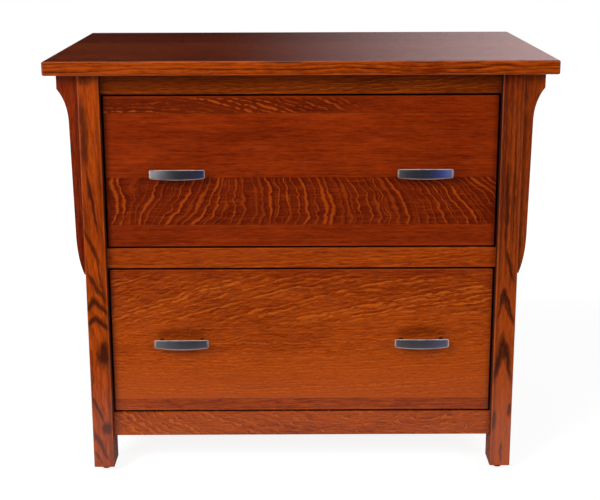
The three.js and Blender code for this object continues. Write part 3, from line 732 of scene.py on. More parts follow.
# Where each stroke is, its lean, half length, half width and strength, and 1 if it is folded over
LEFT_STROKES = [
    # The first is painted shade under the top, together with dark grain
    (on_post(0.372, 0.004), 0.0, 0.022, 0.016, 0.75, 0),
    (on_post(0.270, 0.0115), 0.02, 0.09, 0.009, 0.8, 0),
    (on_post(0.144, 0.001), 0.13, 0.09, 0.004, 0.9, 0),
    (on_post(0.105, 0.014), 0.1, 0.06, 0.005, 0.6, 0),
    (on_post(0.062, 0.006), 0.39, 0.05, 0.0055, 0.85, 0),
    (on_post(0.0, -0.009), 0.16, 0.07, 0.003, 0.75, 0),
    (on_post(-0.018, -0.001), 0.55, 0.045, 0.0065, 0.85, 0),
    (on_post(-0.045, 0.005), -0.8, 0.042, 0.008, 0.9, 1),
    (on_post(-0.079, 0.005), -1.05, 0.034, 0.01, 0.9, 1),
    (on_post(-0.256, 0.008), 0.4, 0.045, 0.0045, 0.9, 0),
    (on_post(-0.332, 0.004), 0.42, 0.045, 0.0055, 0.9, 0),
    (on_post(-0.356, 0.012), 0.6, 0.02, 0.0045, 0.8, 0),
]
RIGHT_KNOTS = [(on_post(-0.034, 0.003), (0.013, 0.02, 0.007), 0.004)]
RIGHT_STROKES = [
    (on_post(0.135, 0.0048), 0.0, 0.12, 0.004, 0.85, 0),
    (on_post(0.022, -0.0055), 0.28, 0.045, 0.0045, 0.85, 0),
    (on_post(0.168, -0.008), 0.0, 0.16, 0.0025, 0.75, 0),
    (on_post(-0.058, -0.006), 0.3, 0.05, 0.005, 0.9, 0),
    (on_post(-0.04, 0.004), -0.2, 0.06, 0.0032, 0.85, 1),
    (on_post(-0.136, 0.001), -0.2, 0.1, 0.0062, 0.92, 1),
    (on_post(-0.284, 0.0145), 0.0, 0.03, 0.005, 0.85, 0),
    (on_post(-0.262, -0.0155), 0.0, 0.02, 0.0035, 0.85, 0),
    (on_post(-0.348, -0.002), 0.0, 0.03, 0.003, 0.85, 0),
]
PULL_SHADES = [((side * 0.2255, 0, 0.0165), 0.0, 0.066, 0.0125, 0.6, 0) for side in (-1, 1)]  # above the lower pulls
LEFT_SAWING = {"depth": 0.6, "tones": (0.5,), "contrast": 1.1}
RIGHT_SAWING = {
    "depth": 1.0,
    "tones": (0.6,),
    "drift": (-1.0, 0),
    "calm": (-0.08, 0.12, 0.25),
    "contrast": 1.15,
}
STRIP_GROUND = {"ground": 0.75, "fade": (0.02, 0.15)}  # the strip of flecks along the upper drawer's top
TOP_RINGS = {"Pith_Across": -0.23, "Pith_Depth": -0.05, "Spacing": 0.0046, "Wander": 0.02, "Lean_Depth": 0.012}


def oak_boards():
    """A material for each oak board, by its node."""
    made = {}

    def oak(node, *args, **settings):
        made[node] = stained_oak(node, *args, seed=len(made) * 7 + 1, **settings)

    oak(
        "top", "x", TOP_BROWN, TOP_RINGS, depth=1.0, wear=0.35, contrast=2.2,
        seams=(-0.27, -0.1, 0.06, 0.19), tones=(0.58, 0.4, 0.6, 0.26, 0.22), drift=(-0.2, 0),
    )
    slivers = fleck_band(-0.03, 0.03, rising_flecks(0.06, 0.1, 0.01), 0.008, 0.03, 0.24, 1, 0.45, 3)
    oak("top_front_rail", "x", SHADED_RAIL_BROWN, QUARTER_SAWN, across="Z", depth=0.5, flecks=[slivers], framed=True)
    oak(
        "middle_front_rail", "x", ORANGE_BROWN, QUARTER_SAWN, across="Z", depth=0.45, flecks=[slivers], framed=True,
        contrast=1.7,
    )
    scales = fleck_band(-0.03, 0.03, rising_flecks(-0.3, 0.6, 0.03), 0.011, 0.022, 0.34, 1, 0.55, 13)
    oak(
        "bottom_front_rail", "x", ORANGE_BROWN, QUARTER_SAWN, across="Z", depth=0.4, tones=(0.7,),
        flecks=[scales], framed=True, contrast=1.7,
    )
    slant = standing_flecks(-0.054, LEANS, -4, -6, 0.024)
    band = fleck_band(-0.098, -0.010, slant, 0.016, 0.07, 0.33, 0.6, 0.65, 5, 0.003)
    threads = fleck_band(-0.098, -0.010, slant, 0.0125, 0.05, 0.2, 1, 0.24, 9, 0.003)
    strip = fleck_band(0.109, 0.136, rising_flecks(-0.38, -0.6, 0.014), 0.008, 0.028, 0.36, 1, 0.68, 6, **STRIP_GROUND)
    oak(
        "upper_drawer_front", "x", RED_BROWN, QUARTER_SAWN, across="Z", depth=0.3, contrast=1.05,
        seams=(-0.098, -0.010, 0.109), tones=(0.52, 0.2, 0.5, 0.42), flecks=[band, threads, strip], framed=True,
    )
    climb = rising_flecks(0.24, -0.16, 0.016)
    ripple = fleck_band(0.035, 0.128, climb, 0.0095, 0.045, 0.38, 1, 0.62, 8, 0.012)
    dashes = fleck_band(-0.02, 0.128, climb, 0.007, 0.03, 0.3, 1, 0.42, 4, 0.03)
    glints = fleck_band(-0.115, 0.03, rising_flecks(0.03, 0.08, 0.014), 0.0065, 0.022, 0.36, 1, 0.42, 11, 0.02)
    lines = fleck_band(-0.14, -0.116, rising_flecks(0.0, 0.03, 0.005), 0.0045, 0.1, 0.36, 1, 0.42, 17)
    # The lower front's tone drifts lighter towards its bottom: painted light from the pale floor
    oak(
        "lower_drawer_front", "x", ORANGE_BROWN, QUARTER_SAWN, across="Z", depth=0.35, seams=(-0.116,),
        tones=(0.15, 0.66), drift=(0, -2.5), flecks=[ripple, dashes, glints, lines], strokes=PULL_SHADES, framed=True,
        contrast=1.8,
    )
    for side, sign in (("left", -1), ("right", 1)):
        leftward = side == "left"
        post = LEFT_POST if leftward else RIGHT_POST
        sawing = LEFT_SAWING if leftward else RIGHT_SAWING
        knots = LEFT_KNOTS if leftward else RIGHT_KNOTS
        figure_and_shade = {"knots": knots, "strokes": LEFT_STROKES if leftward else RIGHT_STROKES}
        brown = POST_BROWN if leftward else DARK_POST_BROWN
        oak(f"front_{side}_post", "z", brown, post, wear=0.3, hidden=BARE_SHADED_INSIDE, **sawing, **figure_and_shade)
        oak(f"rear_{side}_post", "z", brown, post, wear=0.12, **sawing)
        corbel = {"Pith_Across": 0.02, "Pith_Depth": 0.06 * sign, "Spacing": 0.006, "Wander": 0.01}
        shading = {"tones": (0.36,), "drift": (1.0, 0)} if leftward else {"tones": (0.46,), "drift": (-0.3, 0)}
        corbel_brown = RED_BROWN if leftward else DARK_POST_BROWN
        for end in ("front", "rear"):
            oak(f"{end}_{side}_corbel", "z", corbel_brown, corbel, depth=0.5, wear=0.12, **shading)
        oak(f"{side}_lower_side_rail", "y", ORANGE_BROWN, QUARTER_SAWN, across="Z", depth=0.4)
        oak(f"{side}_upper_side_rail", "y", ORANGE_BROWN, QUARTER_SAWN, across="Z", depth=0.4)
        panel = {"Pith_Across": -0.6, "Pith_Depth": 0.1, "Spacing": 0.004, "Wander": 0.02}
        oak(f"{side}_side_panel", "z", RED_BROWN, panel, depth=0.5, seams=(-0.12, 0.02, 0.15))
    oak("back_lower_rail", "x", ORANGE_BROWN, QUARTER_SAWN, across="Z", depth=0.4)
    oak("back_upper_rail", "x", ORANGE_BROWN, QUARTER_SAWN, across="Z", depth=0.4)
    return made


END_GRAIN_SHADE = 0.6
FLAME_STRETCH = (0.9, 6, 6)  # the noise whose contour lines are the flames of peeled veneer
FLAME_LINES = 85
FLAME_SHADE = 0.42


def pale_wood(name, along, deep, light, roughness, seed, flame=0.0):
    """Maple or birch under clear lacquer: faint streaks, and small dark dashes along the grain."""
    material, tree, shader = new_material(name)
    place = tree.add("ShaderNodeTexCoord").outputs["Object"]
    inputs = {"Vector": place, "Rotation": tuple(TURNS[along].to_euler()), "Location": (seed, seed, seed)}
    board = tree.add("ShaderNodeMapping", inputs).outputs["Vector"]
    grain = tree.effect(OAK_GRAIN, Vector=board)
    level = tree.math("ADD", tree.math("MULTIPLY", grain["Streak"], 0.7), tree.math("MULTIPLY", grain["Cloud"], 0.5))
    colour = tree.mix(tree.ease(level, 0.3, 0.9), deep, light)
    if flame:
        contour = tree.math("MULTIPLY", tree.noise(board, FLAME_STRETCH, 1.5), FLAME_LINES)
        line = tree.ease(tree.math("SINE", contour), -0.2, 1.0, 0.0, flame)
        colour = tree.mix(line, colour, deep, "MULTIPLY")
    dashes = tree.math("MULTIPLY", grain["Pores"], 0.25)
    cut = tree.add("ShaderNodeAttribute", attribute_name="end_grain").outputs["Fac"]
    dashes = tree.math("MAXIMUM", dashes, tree.math("MULTIPLY", cut, END_GRAIN_SHADE))
    tree.feed(shader.inputs["Base Color"], tree.mix(dashes, colour, deep, "MULTIPLY"))
    rough = tree.math("MULTIPLY_ADD", grain["Fine"], 0.12, roughness)
    tree.feed(shader.inputs["Roughness"], rough)
    bump(tree, shader, grain["Fine"], 0.0001, 0.5)
    return material


def make_gunmetal():
    """Dark plated metal, rubbed bright along its edges with a pinkish-white that is partly painted highlight, and
    painted dark as shade on the feet behind the bar.
    """
    material, tree, shader = new_material("gunmetal")
    place = tree.add("ShaderNodeTexCoord").outputs["Object"]
    rub_and_gleam = tree.add("ShaderNodeAttribute", attribute_name="rub_and_gleam").outputs["Fac"]
    brush = tree.noise(place, (40, 2200, 2200), 2.0, 0.6)
    cloud = tree.noise(place, (60, 60, 60), 3.0)
    # Rubbed rims, tinted pinkish-white partly as a painted highlight
    worn_and_gleaming = tree.math("MULTIPLY", rub_and_gleam, tree.ease(cloud, 0.35, 0.6, 0.35, 1.0))
    dark = tree.mix(cloud, srgb(162, 160, 168), srgb(182, 179, 186))
    # Painted shade on the feet behind the bar
    shaded_behind = tree.ease(tree.parts(place)["Y"], FOOT_FRONT, FOOT_FRONT + 0.004)
    dark = tree.mix(shaded_behind, dark, srgb(40, 36, 34))
    tree.feed(shader.inputs["Base Color"], tree.mix(worn_and_gleaming, dark, srgb(255, 228, 216)))
    tree.feed(shader.inputs["Roughness"], tree.math("MULTIPLY_ADD", brush, 0.1, 0.3))
    shader.inputs["Metallic"].default_value = 0.97
    return material


def plated_steel(name, dark, light, roughness):
    """Plated steel with a faint spangle, and scratches along Y."""
    material, tree, shader = new_material(name)
    place = tree.add("ShaderNodeTexCoord").outputs["Object"]
    spangle = tree.noise(place, (90, 40, 90), 3.0, 0.6)
    scratches = tree.noise(place, (900, 12, 900), 2.0, 0.6)
    colour = tree.mix(spangle, dark, light)
    rough = tree.math("MULTIPLY_ADD", scratches, 0.2, roughness)
    bump(tree, shader, scratches, 0.00003, 0.5)
    return material, tree, shader, place, colour, rough


def make_bar_steel():
    material, tree, shader, _, colour, rough = plated_steel("folder_bar_steel", srgb(120, 122, 126), srgb(160, 162, 166), 0.3)
    tree.feed(shader.inputs["Base Color"], colour)
    tree.feed(shader.inputs["Roughness"], rough)
    shader.inputs["Metallic"].default_value = 1.0
    return material


def make_slide_steel():
    """Zinc plate, painted black at each slide's front end as shade in the gaps beside the drawers."""
    material, tree, shader, place, colour, rough = plated_steel("slide_steel", srgb(96, 98, 102), srgb(132, 134, 138), 0.32)
    # Painted shade: each slide's front end black
    dark_end = tree.ease(tree.parts(place)["Y"], SLIDE_DARK_END, SLIDE_DARK_END + 0.001, 1.0, 0.0)
    tree.feed(shader.inputs["Base Color"], tree.mix(dark_end, colour, srgb(22, 21, 21)))
    tree.feed(shader.inputs["Roughness"], tree.math("MULTIPLY_ADD", dark_end, 0.25, rough))
    tree.feed(shader.inputs["Metallic"], tree.math("SUBTRACT", 1.0, dark_end))
    shader.inputs["Specular IOR Level"].default_value = 0.1
    return material


def make_nylon():
    material, tree, shader = new_material("glide_nylon")
    place = tree.add("ShaderNodeTexCoord").outputs["Object"]
    mottle = tree.noise(place, (300, 300, 300), 3.0)
    tree.feed(shader.inputs["Base Color"], tree.mix(mottle, srgb(28, 22, 20), srgb(52, 42, 38)))
    tree.feed(shader.inputs["Roughness"], tree.math("MULTIPLY_ADD", mottle, 0.2, 0.4))
    bump(tree, shader, mottle, 0.0001, 0.4)
    return material


# Pieces
def add_piece(name, mesh, body, slot, material, *replaced):
    """A finished piece at the origin, riding on a body and standing for some nodes."""
    piece = bpy.data.objects.new(name, mesh)
    bpy.context.scene.collection.objects.link(piece)
    mesh.materials.clear()
    mesh.materials.append(material)
    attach(piece, body)
    if replaced:
        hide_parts(*replaced)
    return piece


def smooth_shading(mesh):
    """Round stretches shade as round, and flat faces stay flat beside them."""
    mesh.shade_smooth()
    mesh.set_sharp_from_angle(angle=SMOOTH_ANGLE)
    holder = bpy.data.objects.new("holder", mesh)
    bpy.context.scene.collection.objects.link(holder)
    weighing = holder.modifiers.new("weighing", "WEIGHTED_NORMAL")
    weighing.keep_sharp = True
    weighing.weight = 100
    shaded = bpy.data.meshes.new_from_object(holder.evaluated_get(bpy.context.evaluated_depsgraph_get()))
    bpy.data.objects.remove(holder)
    return shaded


def smooth_copy(node):
    """A node's mesh with its loose triangles merged and its eased edges shaded round."""
    mesh = frame["nodes"][node].data.copy()
    mesh.name = node + "_smooth"
    shape = bmesh.new()
    shape.from_mesh(mesh)
    bmesh.ops.remove_doubles(shape, verts=shape.verts, dist=MERGE_DISTANCE)
    shape.to_mesh(mesh)
    shape.free()
    return smooth_shading(mesh)


BODY_OF = {node: obj["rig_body"] for node, obj in frame["nodes"].items()}


def dress_node(node, material, slot, kind="board"):
    """Shows a node as a smooth copy in its finish."""
    return add_piece(f"{node}_{kind}", smooth_copy(node), BODY_OF[node], slot, material, node)


def dress_box_board(node, material, grain):
    """Shows a board of a drawer box, with the faces marked that cut across its grain."""
    mesh = dress_node(node, material, "drawer_box_wood").data
    marks = mesh.attributes.new("end_grain", "FLOAT", "FACE")
    marks.data.foreach_set("value", [float(abs(face.normal[grain]) > 0.9) for face in mesh.polygons])


def eased_bar(node, material, slot):
    """Shows a plain bar with its edges eased."""
    mesh = frame["nodes"][node].data.copy()
    shape = bmesh.new()
    shape.from_mesh(mesh)
    bmesh.ops.remove_doubles(shape, verts=shape.verts, dist=MERGE_DISTANCE)
    bmesh.ops.dissolve_limit(shape, angle_limit=FLAT_ANGLE, verts=shape.verts, edges=shape.edges)
    bmesh.ops.bevel(shape, geom=shape.edges[:], offset=BAR_EASE, segments=3, profile=0.5, affect="EDGES")
    shape.to_mesh(mesh)
    shape.free()
    return add_piece(f"{node}_eased", smooth_shading(mesh), BODY_OF[node], slot, material, node)


def paint_node(node, material):
    """Gives a node, whose flat faces need no smoothing, its finish."""
    slots = frame["nodes"][node].data.materials
    slots.clear()
    slots.append(material)


# Pulls
def rounded_outline(half_length, half_height, radius, steps=6):
    """The outline of a bar with rounded corners, seen from the front."""
    points = []
    for corner in range(4):
        side = (1, -1, -1, 1)[corner]
        rise = (1, 1, -1, -1)[corner]
        for step in range(steps + 1):
            angle = math.radians(90 * (corner + step / steps))
            x = side * (half_length - radius) + radius * math.cos(angle)
            z = rise * (half_height - radius) + radius * math.sin(angle)
            points.append((x, z))
    return points


def make_pull(node, material):
    """A flat bar, tallest at its middle and bowed towards the hand, on two turned feet."""
    low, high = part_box(node)
    middle = (low + high) / 2
    size = high - low
    half = size.x / 2
    shape = bmesh.new()
    outline = rounded_outline(half, size.z / 2, PULL_CORNER)
    face = shape.faces.new([shape.verts.new((x, 0, z)) for x, z in outline])
    made = bmesh.ops.extrude_face_region(shape, geom=[face])
    lifted = [item for item in made["geom"] if isinstance(item, bmesh.types.BMVert)]
    bmesh.ops.translate(shape, verts=lifted, vec=(0, PULL_THICKNESS, 0))
    bmesh.ops.recalc_face_normals(shape, faces=shape.faces)
    rims = [e for e in shape.edges if abs(e.verts[0].co.y - e.verts[1].co.y) < 1e-6]
    bmesh.ops.bevel(
        shape, geom=rims, offset=PULL_CHAMFER, offset_type="OFFSET", segments=3, profile=0.5, affect="EDGES"
    )
    for step in range(1, BAR_STEPS):
        x = half * (2 * step / BAR_STEPS - 1)
        everything = [*shape.verts, *shape.edges, *shape.faces]
        bmesh.ops.bisect_plane(shape, geom=everything, plane_co=(x, 0, 0), plane_no=(1, 0, 0))
    # Rubbed rims, partly painted highlight
    rub_and_gleam = shape.verts.layers.float.new("rub_and_gleam")
    for vert in shape.verts:
        inside_x = half - abs(vert.co.x)
        inside_z = size.z / 2 - abs(vert.co.z)
        edge = min(inside_x * END_RUB_AND_GLEAM, inside_z) + vert.co.y
        vert[rub_and_gleam] = max(0.0, min(1.0, RIM_RUB_AND_GLEAM * (1 - edge / PULL_CHAMFER)))
    radius = (half**2 + PULL_BOW**2) / (2 * PULL_BOW)
    for vert in shape.verts:
        swell = PULL_MIDDLE_HEIGHT + (PULL_END_HEIGHT - PULL_MIDDLE_HEIGHT) * (vert.co.x / half) ** 2
        vert.co.z *= swell / size.z
        reach = radius - vert.co.y
        angle = vert.co.x / radius
        vert.co.x = reach * math.sin(angle) + middle.x
        vert.co.y = low.y + radius - reach * math.cos(angle)
        vert.co.z += middle.z
    for sign in (-1, 1):
        add_foot(shape, Vector((middle.x + sign * PULL_CENTRES / 2, high.y, middle.z)), low.y + PULL_BOW)
    mesh = bpy.data.meshes.new(node)
    shape.to_mesh(mesh)
    shape.free()
    return add_piece(node + "_bar", smooth_shading(mesh), BODY_OF[node], "pull_metal", material, node)


def add_foot(shape, seat, front):
    """A turned foot: a broad base on the drawer front, a waist, and a neck into the bar."""
    length = seat.y - front
    profile = [
        (0.0, 0.0),
        (FOOT_RADIUS, 0.0),
        (FOOT_RADIUS, 0.0012),
        (FOOT_RADIUS * 0.86, 0.0022),
        (FOOT_NECK, length * 0.45),
        (FOOT_NECK * 1.1, length * 0.75),
        (FOOT_NECK * 1.3, length),
        (0.0, length),
    ]
    verts = [shape.verts.new((seat.x + r, seat.y - y, seat.z)) for r, y in profile]
    edges = [shape.edges.new(pair) for pair in zip(verts, verts[1:])]
    turned = bmesh.ops.spin(
        shape, geom=[*verts, *edges], cent=seat, axis=(0, 1, 0), angle=math.tau, steps=24, use_merge=True
    )
    around = {v for item in turned["geom_last"] for v in getattr(item, "verts", [item])}
    links = set(verts) | around
    grown = set(links)
    while links:
        links = {e.other_vert(v) for v in links for e in v.link_edges} - grown
        grown |= links
    bmesh.ops.remove_doubles(shape, verts=list(grown), dist=MERGE_DISTANCE)
    faces = {f for v in grown if v.is_valid for f in v.link_faces}
    bmesh.ops.recalc_face_normals(shape, faces=list(faces))


# Screws
def make_screw_heads():
    """Puts a head with a cross slot on each point, sized and turned by the point's own attributes."""
    inputs = [("Points", GEOMETRY), ("Rim", FLOAT), ("Slot", FLOAT), ("Finish", MATERIAL)]
    group, tree, given, made = shared_effect("screw heads", inputs, [("Heads", GEOMETRY)], "GeometryNodeTree")

    def moved(mesh, rise):
        inputs = {"Geometry": mesh, "Translation": tree.joined(0.0, 0.0, rise)}
        return tree.add("GeometryNodeTransform", inputs).outputs["Geometry"]

    def mixed(operation, first, *others):
        node = tree.add("GeometryNodeMeshBoolean", operation=operation)
        if operation == "DIFFERENCE":
            tree.feed(node.inputs["Mesh 1"], first)
        else:
            others = (first, *others)
        for other in others:
            tree.feed(node.inputs["Mesh 2"], other)
        return node.outputs["Mesh"]

    rim = tree.add("GeometryNodeMeshCylinder", {"Vertices": 20, "Radius": 0.5, "Depth": given["Rim"]}).outputs["Mesh"]
    sizes = {
        "Vertices": 20,
        "Radius Top": 0.3,
        "Radius Bottom": 0.49,
        "Depth": tree.math("SUBTRACT", 1.0, tree.math("MULTIPLY", given["Rim"], 0.9)),
    }
    crown = tree.add("GeometryNodeMeshCone", sizes).outputs["Mesh"]
    head = mixed(
        "UNION",
        moved(rim, tree.math("MULTIPLY", given["Rim"], 0.5)),
        moved(crown, tree.math("MULTIPLY", given["Rim"], 0.9)),
    )
    slots = []
    for size in (tree.joined(0.5, given["Slot"], 1.0), tree.joined(given["Slot"], 0.5, 1.0)):
        slots.append(moved(tree.add("GeometryNodeMeshCube", {"Size": size}).outputs["Mesh"], 1.0))
    head = mixed("DIFFERENCE", head, *slots)

    def own(name):
        inputs = {"Name": name}
        return tree.add("GeometryNodeInputNamedAttribute", inputs, data_type="FLOAT_VECTOR").outputs["Attribute"]

    turn = tree.add("FunctionNodeAlignRotationToVector", {"Vector": own("facing")}, axis="Z").outputs["Rotation"]
    placed = {"Points": given["Points"], "Instance": head, "Rotation": turn, "Scale": own("size")}
    heads = tree.add("GeometryNodeInstanceOnPoints", placed).outputs["Instances"]
    heads = tree.add("GeometryNodeRealizeInstances", {"Geometry": heads}).outputs["Geometry"]
    dressed = tree.add("GeometryNodeSetMaterial", {"Geometry": heads, "Material": given["Finish"]})
    tree.feed(made["Heads"], dressed.outputs["Geometry"])
    return group


def drawer_screws(level):
    """The pulls' bolts and the front's screws inside the box, and the screws of the slides on its sides."""
    low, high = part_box(f"{level}_box_front")
    screws = []
    for side, outward in (("left", -1), ("right", 1)):
        pull_low, pull_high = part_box(f"{level}_{side}_pull")
        pull = (pull_low + pull_high) / 2
        for foot in (-1, 1):
            place = (pull.x + foot * PULL_CENTRES / 2, high.y, pull.z)
            screws.append((place, (0, 1, 0), BOLT_HEAD))
        for height in (low.z + FRONT_SCREW_INSET, high.z - FRONT_SCREW_INSET):
            screws.append(((outward * FRONT_SCREW_SPREAD, high.y, height), (0, 1, 0), PAN_HEAD))
        slide_low, slide_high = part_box(f"{level}_{side}_drawer_slide")
        web = min(abs(slide_low.x), abs(slide_high.x)) + SLIDE_SHEET
        for station in SLIDE_SCREW_STATIONS:
            place = (outward * web, station, (slide_low.z + slide_high.z) / 2)
            screws.append((place, (outward, 0, 0), PAN_HEAD))
    return screws


def add_screws(level, heads, material):
    """One mesh of screw heads for a drawer."""
    screws = drawer_screws(level)
    mesh = bpy.data.meshes.new(f"{level}_drawer_screws")
    mesh.from_pydata([place for place, _, _ in screws], [], [])
    facing = mesh.attributes.new("facing", "FLOAT_VECTOR", "POINT")
    facing.data.foreach_set("vector", [value for _, way, _ in screws for value in way])
    size = mesh.attributes.new("size", "FLOAT_VECTOR", "POINT")
    size.data.foreach_set("vector", [value for _, _, head in screws for value in head])
    holder = bpy.data.objects.new("holder", mesh)
    bpy.context.scene.collection.objects.link(holder)
    placing = holder.modifiers.new("placing", "NODES")
    placing.node_group = heads
    values = {"Rim": 0.45, "Slot": 0.13, "Finish": material}
    for item in heads.interface.items_tree:
        if item.in_out == "INPUT" and item.name in values:
            placing[item.identifier] = values[item.name]
    made = bpy.data.meshes.new_from_object(holder.evaluated_get(bpy.context.evaluated_depsgraph_get()))
    bpy.data.objects.remove(holder)
    add_piece(f"{level}_drawer_screws", made, f"{level}_drawer", "slide_steel", material)


# Stage
def make_camera():
    data = bpy.data.cameras.new("camera")
    data.lens = FOCAL_LENGTH
    data.sensor_width = SENSOR_WIDTH
    data.sensor_fit = "HORIZONTAL"
    camera = bpy.data.objects.new("camera", data)
    turn = (
        Matrix.Rotation(math.radians(-CAMERA_YAW), 4, "Z")
        @ Matrix.Rotation(math.radians(90 - CAMERA_PITCH), 4, "X")
        @ Matrix.Rotation(math.radians(CAMERA_ROLL), 4, "Z")
    )
    camera.matrix_world = Matrix.Translation(CAMERA_PLACE) @ turn
    bpy.context.scene.collection.objects.link(camera)
    bpy.context.scene.camera = camera


def seen_directly(tree):
    """1 for what the camera, a mirror or glass sees, and 0 for what only lights the scene."""
    path = tree.add("ShaderNodeLightPath").outputs
    mirrored = tree.math("MAXIMUM", path["Is Glossy Ray"], path["Is Transmission Ray"])
    return path["Is Camera Ray"], mirrored


def make_floor():
    """A pale floor, white to the camera but for the object's shadow."""
    mesh = bpy.data.meshes.new("floor")
    half = FLOOR_SIZE / 2
    mesh.from_pydata([(-half, -half, 0), (half, -half, 0), (half, half, 0), (-half, half, 0)], [], [(0, 1, 2, 3)])
    floor = bpy.data.objects.new("floor", mesh)
    bpy.context.scene.collection.objects.link(floor)
    material = bpy.data.materials.new("floor")
    material.use_nodes = True
    material.node_tree.nodes.clear()
    tree = Tree(material.node_tree)
    camera, mirrored = seen_directly(tree)
    place = tree.add("ShaderNodeTexCoord").outputs["Object"]
    near = tree.ease(tree.parts(place)["Y"], *WHITE_REACH, 0.0, FLOOR_MIRRORED)
    beside = tree.vector("SUBTRACT", tree.vector("ABSOLUTE", place), (0.4, 0.27, 0))
    beside = tree.math("MAXIMUM", *tree.parts(beside)[0:2])
    near = tree.math("MULTIPLY", near, tree.ease(beside, 0.0, 0.06, FLOOR_UNDER, 1.0))
    mirror_glow = tree.math("MULTIPLY", mirrored, near)
    camera_glow = tree.ease(beside, *OPEN_FLOOR, FLOOR_GLOW, 1.0)
    tone = tree.mix(camera, (FLOOR_TONE,) * 3 + (1,), (FLOOR_SEEN,) * 3 + (1,))
    lit = tree.add("ShaderNodeBsdfDiffuse", {"Color": tree.mix(mirrored, tone, (0, 0, 0, 1))}).outputs[0]
    strength = tree.math("MULTIPLY_ADD", camera, camera_glow, mirror_glow)
    glow = tree.add("ShaderNodeEmission", {"Strength": strength}).outputs[0]
    surface = tree.add("ShaderNodeAddShader", {0: lit, 1: glow}).outputs[0]
    tree.add("ShaderNodeOutputMaterial", {"Surface": surface})
    mesh.materials.append(material)


def make_sky():
    """Even soft light, and a white background."""
    world = bpy.data.worlds.new("studio")
    bpy.context.scene.world = world
    world.use_nodes = True
    world.cycles.sampling_method = "NONE"
    world.node_tree.nodes.clear()
    tree = Tree(world.node_tree)
    camera, mirrored = seen_directly(tree)
    seen = tree.math("MAXIMUM", camera, mirrored)
    light = tree.add("ShaderNodeBackground", {"Color": (1, 1, 1, 1), "Strength": SKY_LEVEL}).outputs[0]
    white = tree.add("ShaderNodeBackground", {"Color": (1, 1, 1, 1), "Strength": 1.0}).outputs[0]
    surface = tree.add("ShaderNodeMixShader", {0: seen, 1: light, 2: white}).outputs[0]
    tree.add("ShaderNodeOutputWorld", {"Surface": surface})


def softbox(name, place, target, width, height, power, tint=(1, 1, 1)):
    """A soft lamp. It lights the object but makes no glare on the lacquer."""
    lamp = bpy.data.lights.new(name, "AREA")
    lamp.shape = "RECTANGLE"
    lamp.size = width
    lamp.size_y = height
    lamp.energy = power
    lamp.color = tint
    holder = bpy.data.objects.new(name, lamp)
    aim = (Vector(target) - Vector(place)).to_track_quat("-Z", "Y")
    holder.matrix_world = Matrix.Translation(place) @ aim.to_matrix().to_4x4()
    holder.visible_camera = False
    holder.visible_glossy = False
    bpy.context.scene.collection.objects.link(holder)


def card(name, corners, low, high, start, end):
    """A card that only reflections see, from one colour to another along X."""
    mesh = bpy.data.meshes.new(name)
    mesh.from_pydata(corners, [], [(0, 1, 2, 3)])
    board = bpy.data.objects.new(name, mesh)
    bpy.context.scene.collection.objects.link(board)
    material = bpy.data.materials.new(name)
    material.use_nodes = True
    material.node_tree.nodes.clear()
    tree = Tree(material.node_tree)
    place = tree.parts(tree.add("ShaderNodeTexCoord").outputs["Object"])["X"]
    colour = tree.mix(tree.ease(place, low, high), (*start, 1), (*end, 1))
    glow = tree.add("ShaderNodeEmission", {"Color": colour}).outputs[0]
    tree.add("ShaderNodeOutputMaterial", {"Surface": glow})
    mesh.materials.append(material)
    board.visible_camera = False
    board.visible_diffuse = False
    board.visible_shadow = False
    return board


def upright(x0, x1, y0, y1, z0, z1):
    """The corners of an upright card."""
    return [(x0, y0, z0), (x1, y1, z0), (x1, y1, z1), (x0, y0, z1)]


BLACK = (0, 0, 0)
PULLS = bpy.data.collections.new("pulls")  # the only pieces that the blue card lights


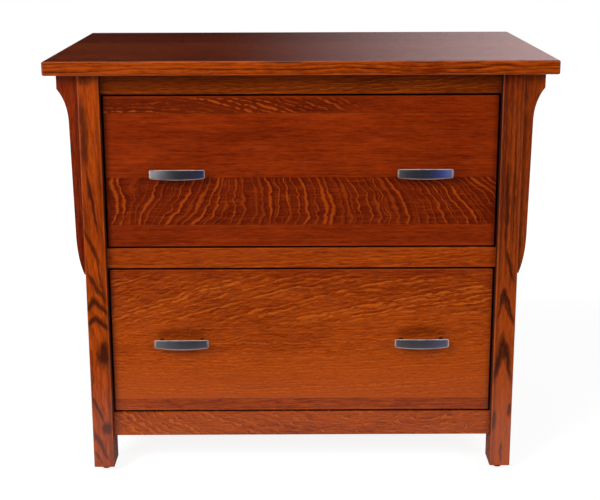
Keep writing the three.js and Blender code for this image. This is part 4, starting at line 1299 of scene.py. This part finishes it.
def make_stage():
    make_camera()
    make_floor()
    make_sky()
    bpy.context.scene.view_settings.view_transform = "Standard"
    softbox("key", (-1.9, -2.7, 2.2), (0, -0.2, 0.4), 1.4, 1.4, 78)
    softbox("fill", (1.9, -2.7, 2.0), (0, -0.2, 0.4), 1.4, 1.4, 33)
    card("front_card", upright(-6, 6, -3.6, -3.6, -0.1, 4), 0, 1, BLACK, BLACK)
    card("back_card", upright(-8, 8, 3, 3, -0.1, 5), -0.4, 1.7, (0.015, 0.014, 0.014), (1.05, 0.8, 0.81))
    card("left_card", upright(-2.6, -1.5, -1.6, -3.0, -0.05, 0.6), 0, 1, (2.1, 2.1, 2.0), (2.1, 2.1, 2.0))
    blue = card(
        "right_card", upright(2.6, 1.3, -1.6, -3.0, -0.05, 0.6), 1.45, 1.95, (0.02, 0.04, 1.7), (0.8, 1.1, 1.5)
    )
    blue.light_linking.receiver_collection = PULLS


make_stage()
for oak_node, oak_material in oak_boards().items():
    dress_node(oak_node, oak_material, "stained_oak")

MAPLE = (srgb(186, 140, 84), srgb(216, 178, 122))
BIRCH = (srgb(184, 122, 68), srgb(212, 156, 98))
slide_steel = make_slide_steel()
bar_steel = make_bar_steel()
screw_heads = make_screw_heads()
nylon = make_nylon()
gunmetal = make_gunmetal()
side_maple = pale_wood("maple_along_y", "y", *MAPLE, 0.36, 1.7)
end_maple = pale_wood("maple_along_x", "x", *MAPLE, 0.36, 2.9)
birch = pale_wood("birch_ply", "x", *BIRCH, 0.45, 4.1, FLAME_SHADE)
upright_birch = pale_wood("birch_ply_upright", "z", *BIRCH, 0.45, 5.3, FLAME_SHADE)
paint_node("back_panel", upright_birch)
for side in ("left", "right"):
    paint_node(f"{side}_slide_board", upright_birch)
    for end in ("front", "rear"):
        dress_node(f"{end}_{side}_glide", nylon, "glide", "foot")
for level in ("lower", "upper"):
    for side in ("left", "right"):
        dress_box_board(f"{level}_box_{side}_side", side_maple, 1)
        PULLS.objects.link(make_pull(f"{level}_{side}_pull", gunmetal))
        for member in ("cabinet", "middle", "drawer"):
            paint_node(f"{level}_{side}_{member}_slide", slide_steel)
    for end in ("front", "back"):
        dress_box_board(f"{level}_box_{end}", end_maple, 0)
    for end in ("front", "rear"):
        eased_bar(f"{level}_{end}_folder_bar", bar_steel, "folder_bar_steel")
    paint_node(f"{level}_box_bottom", birch)
    add_screws(level, screw_heads, bar_steel)
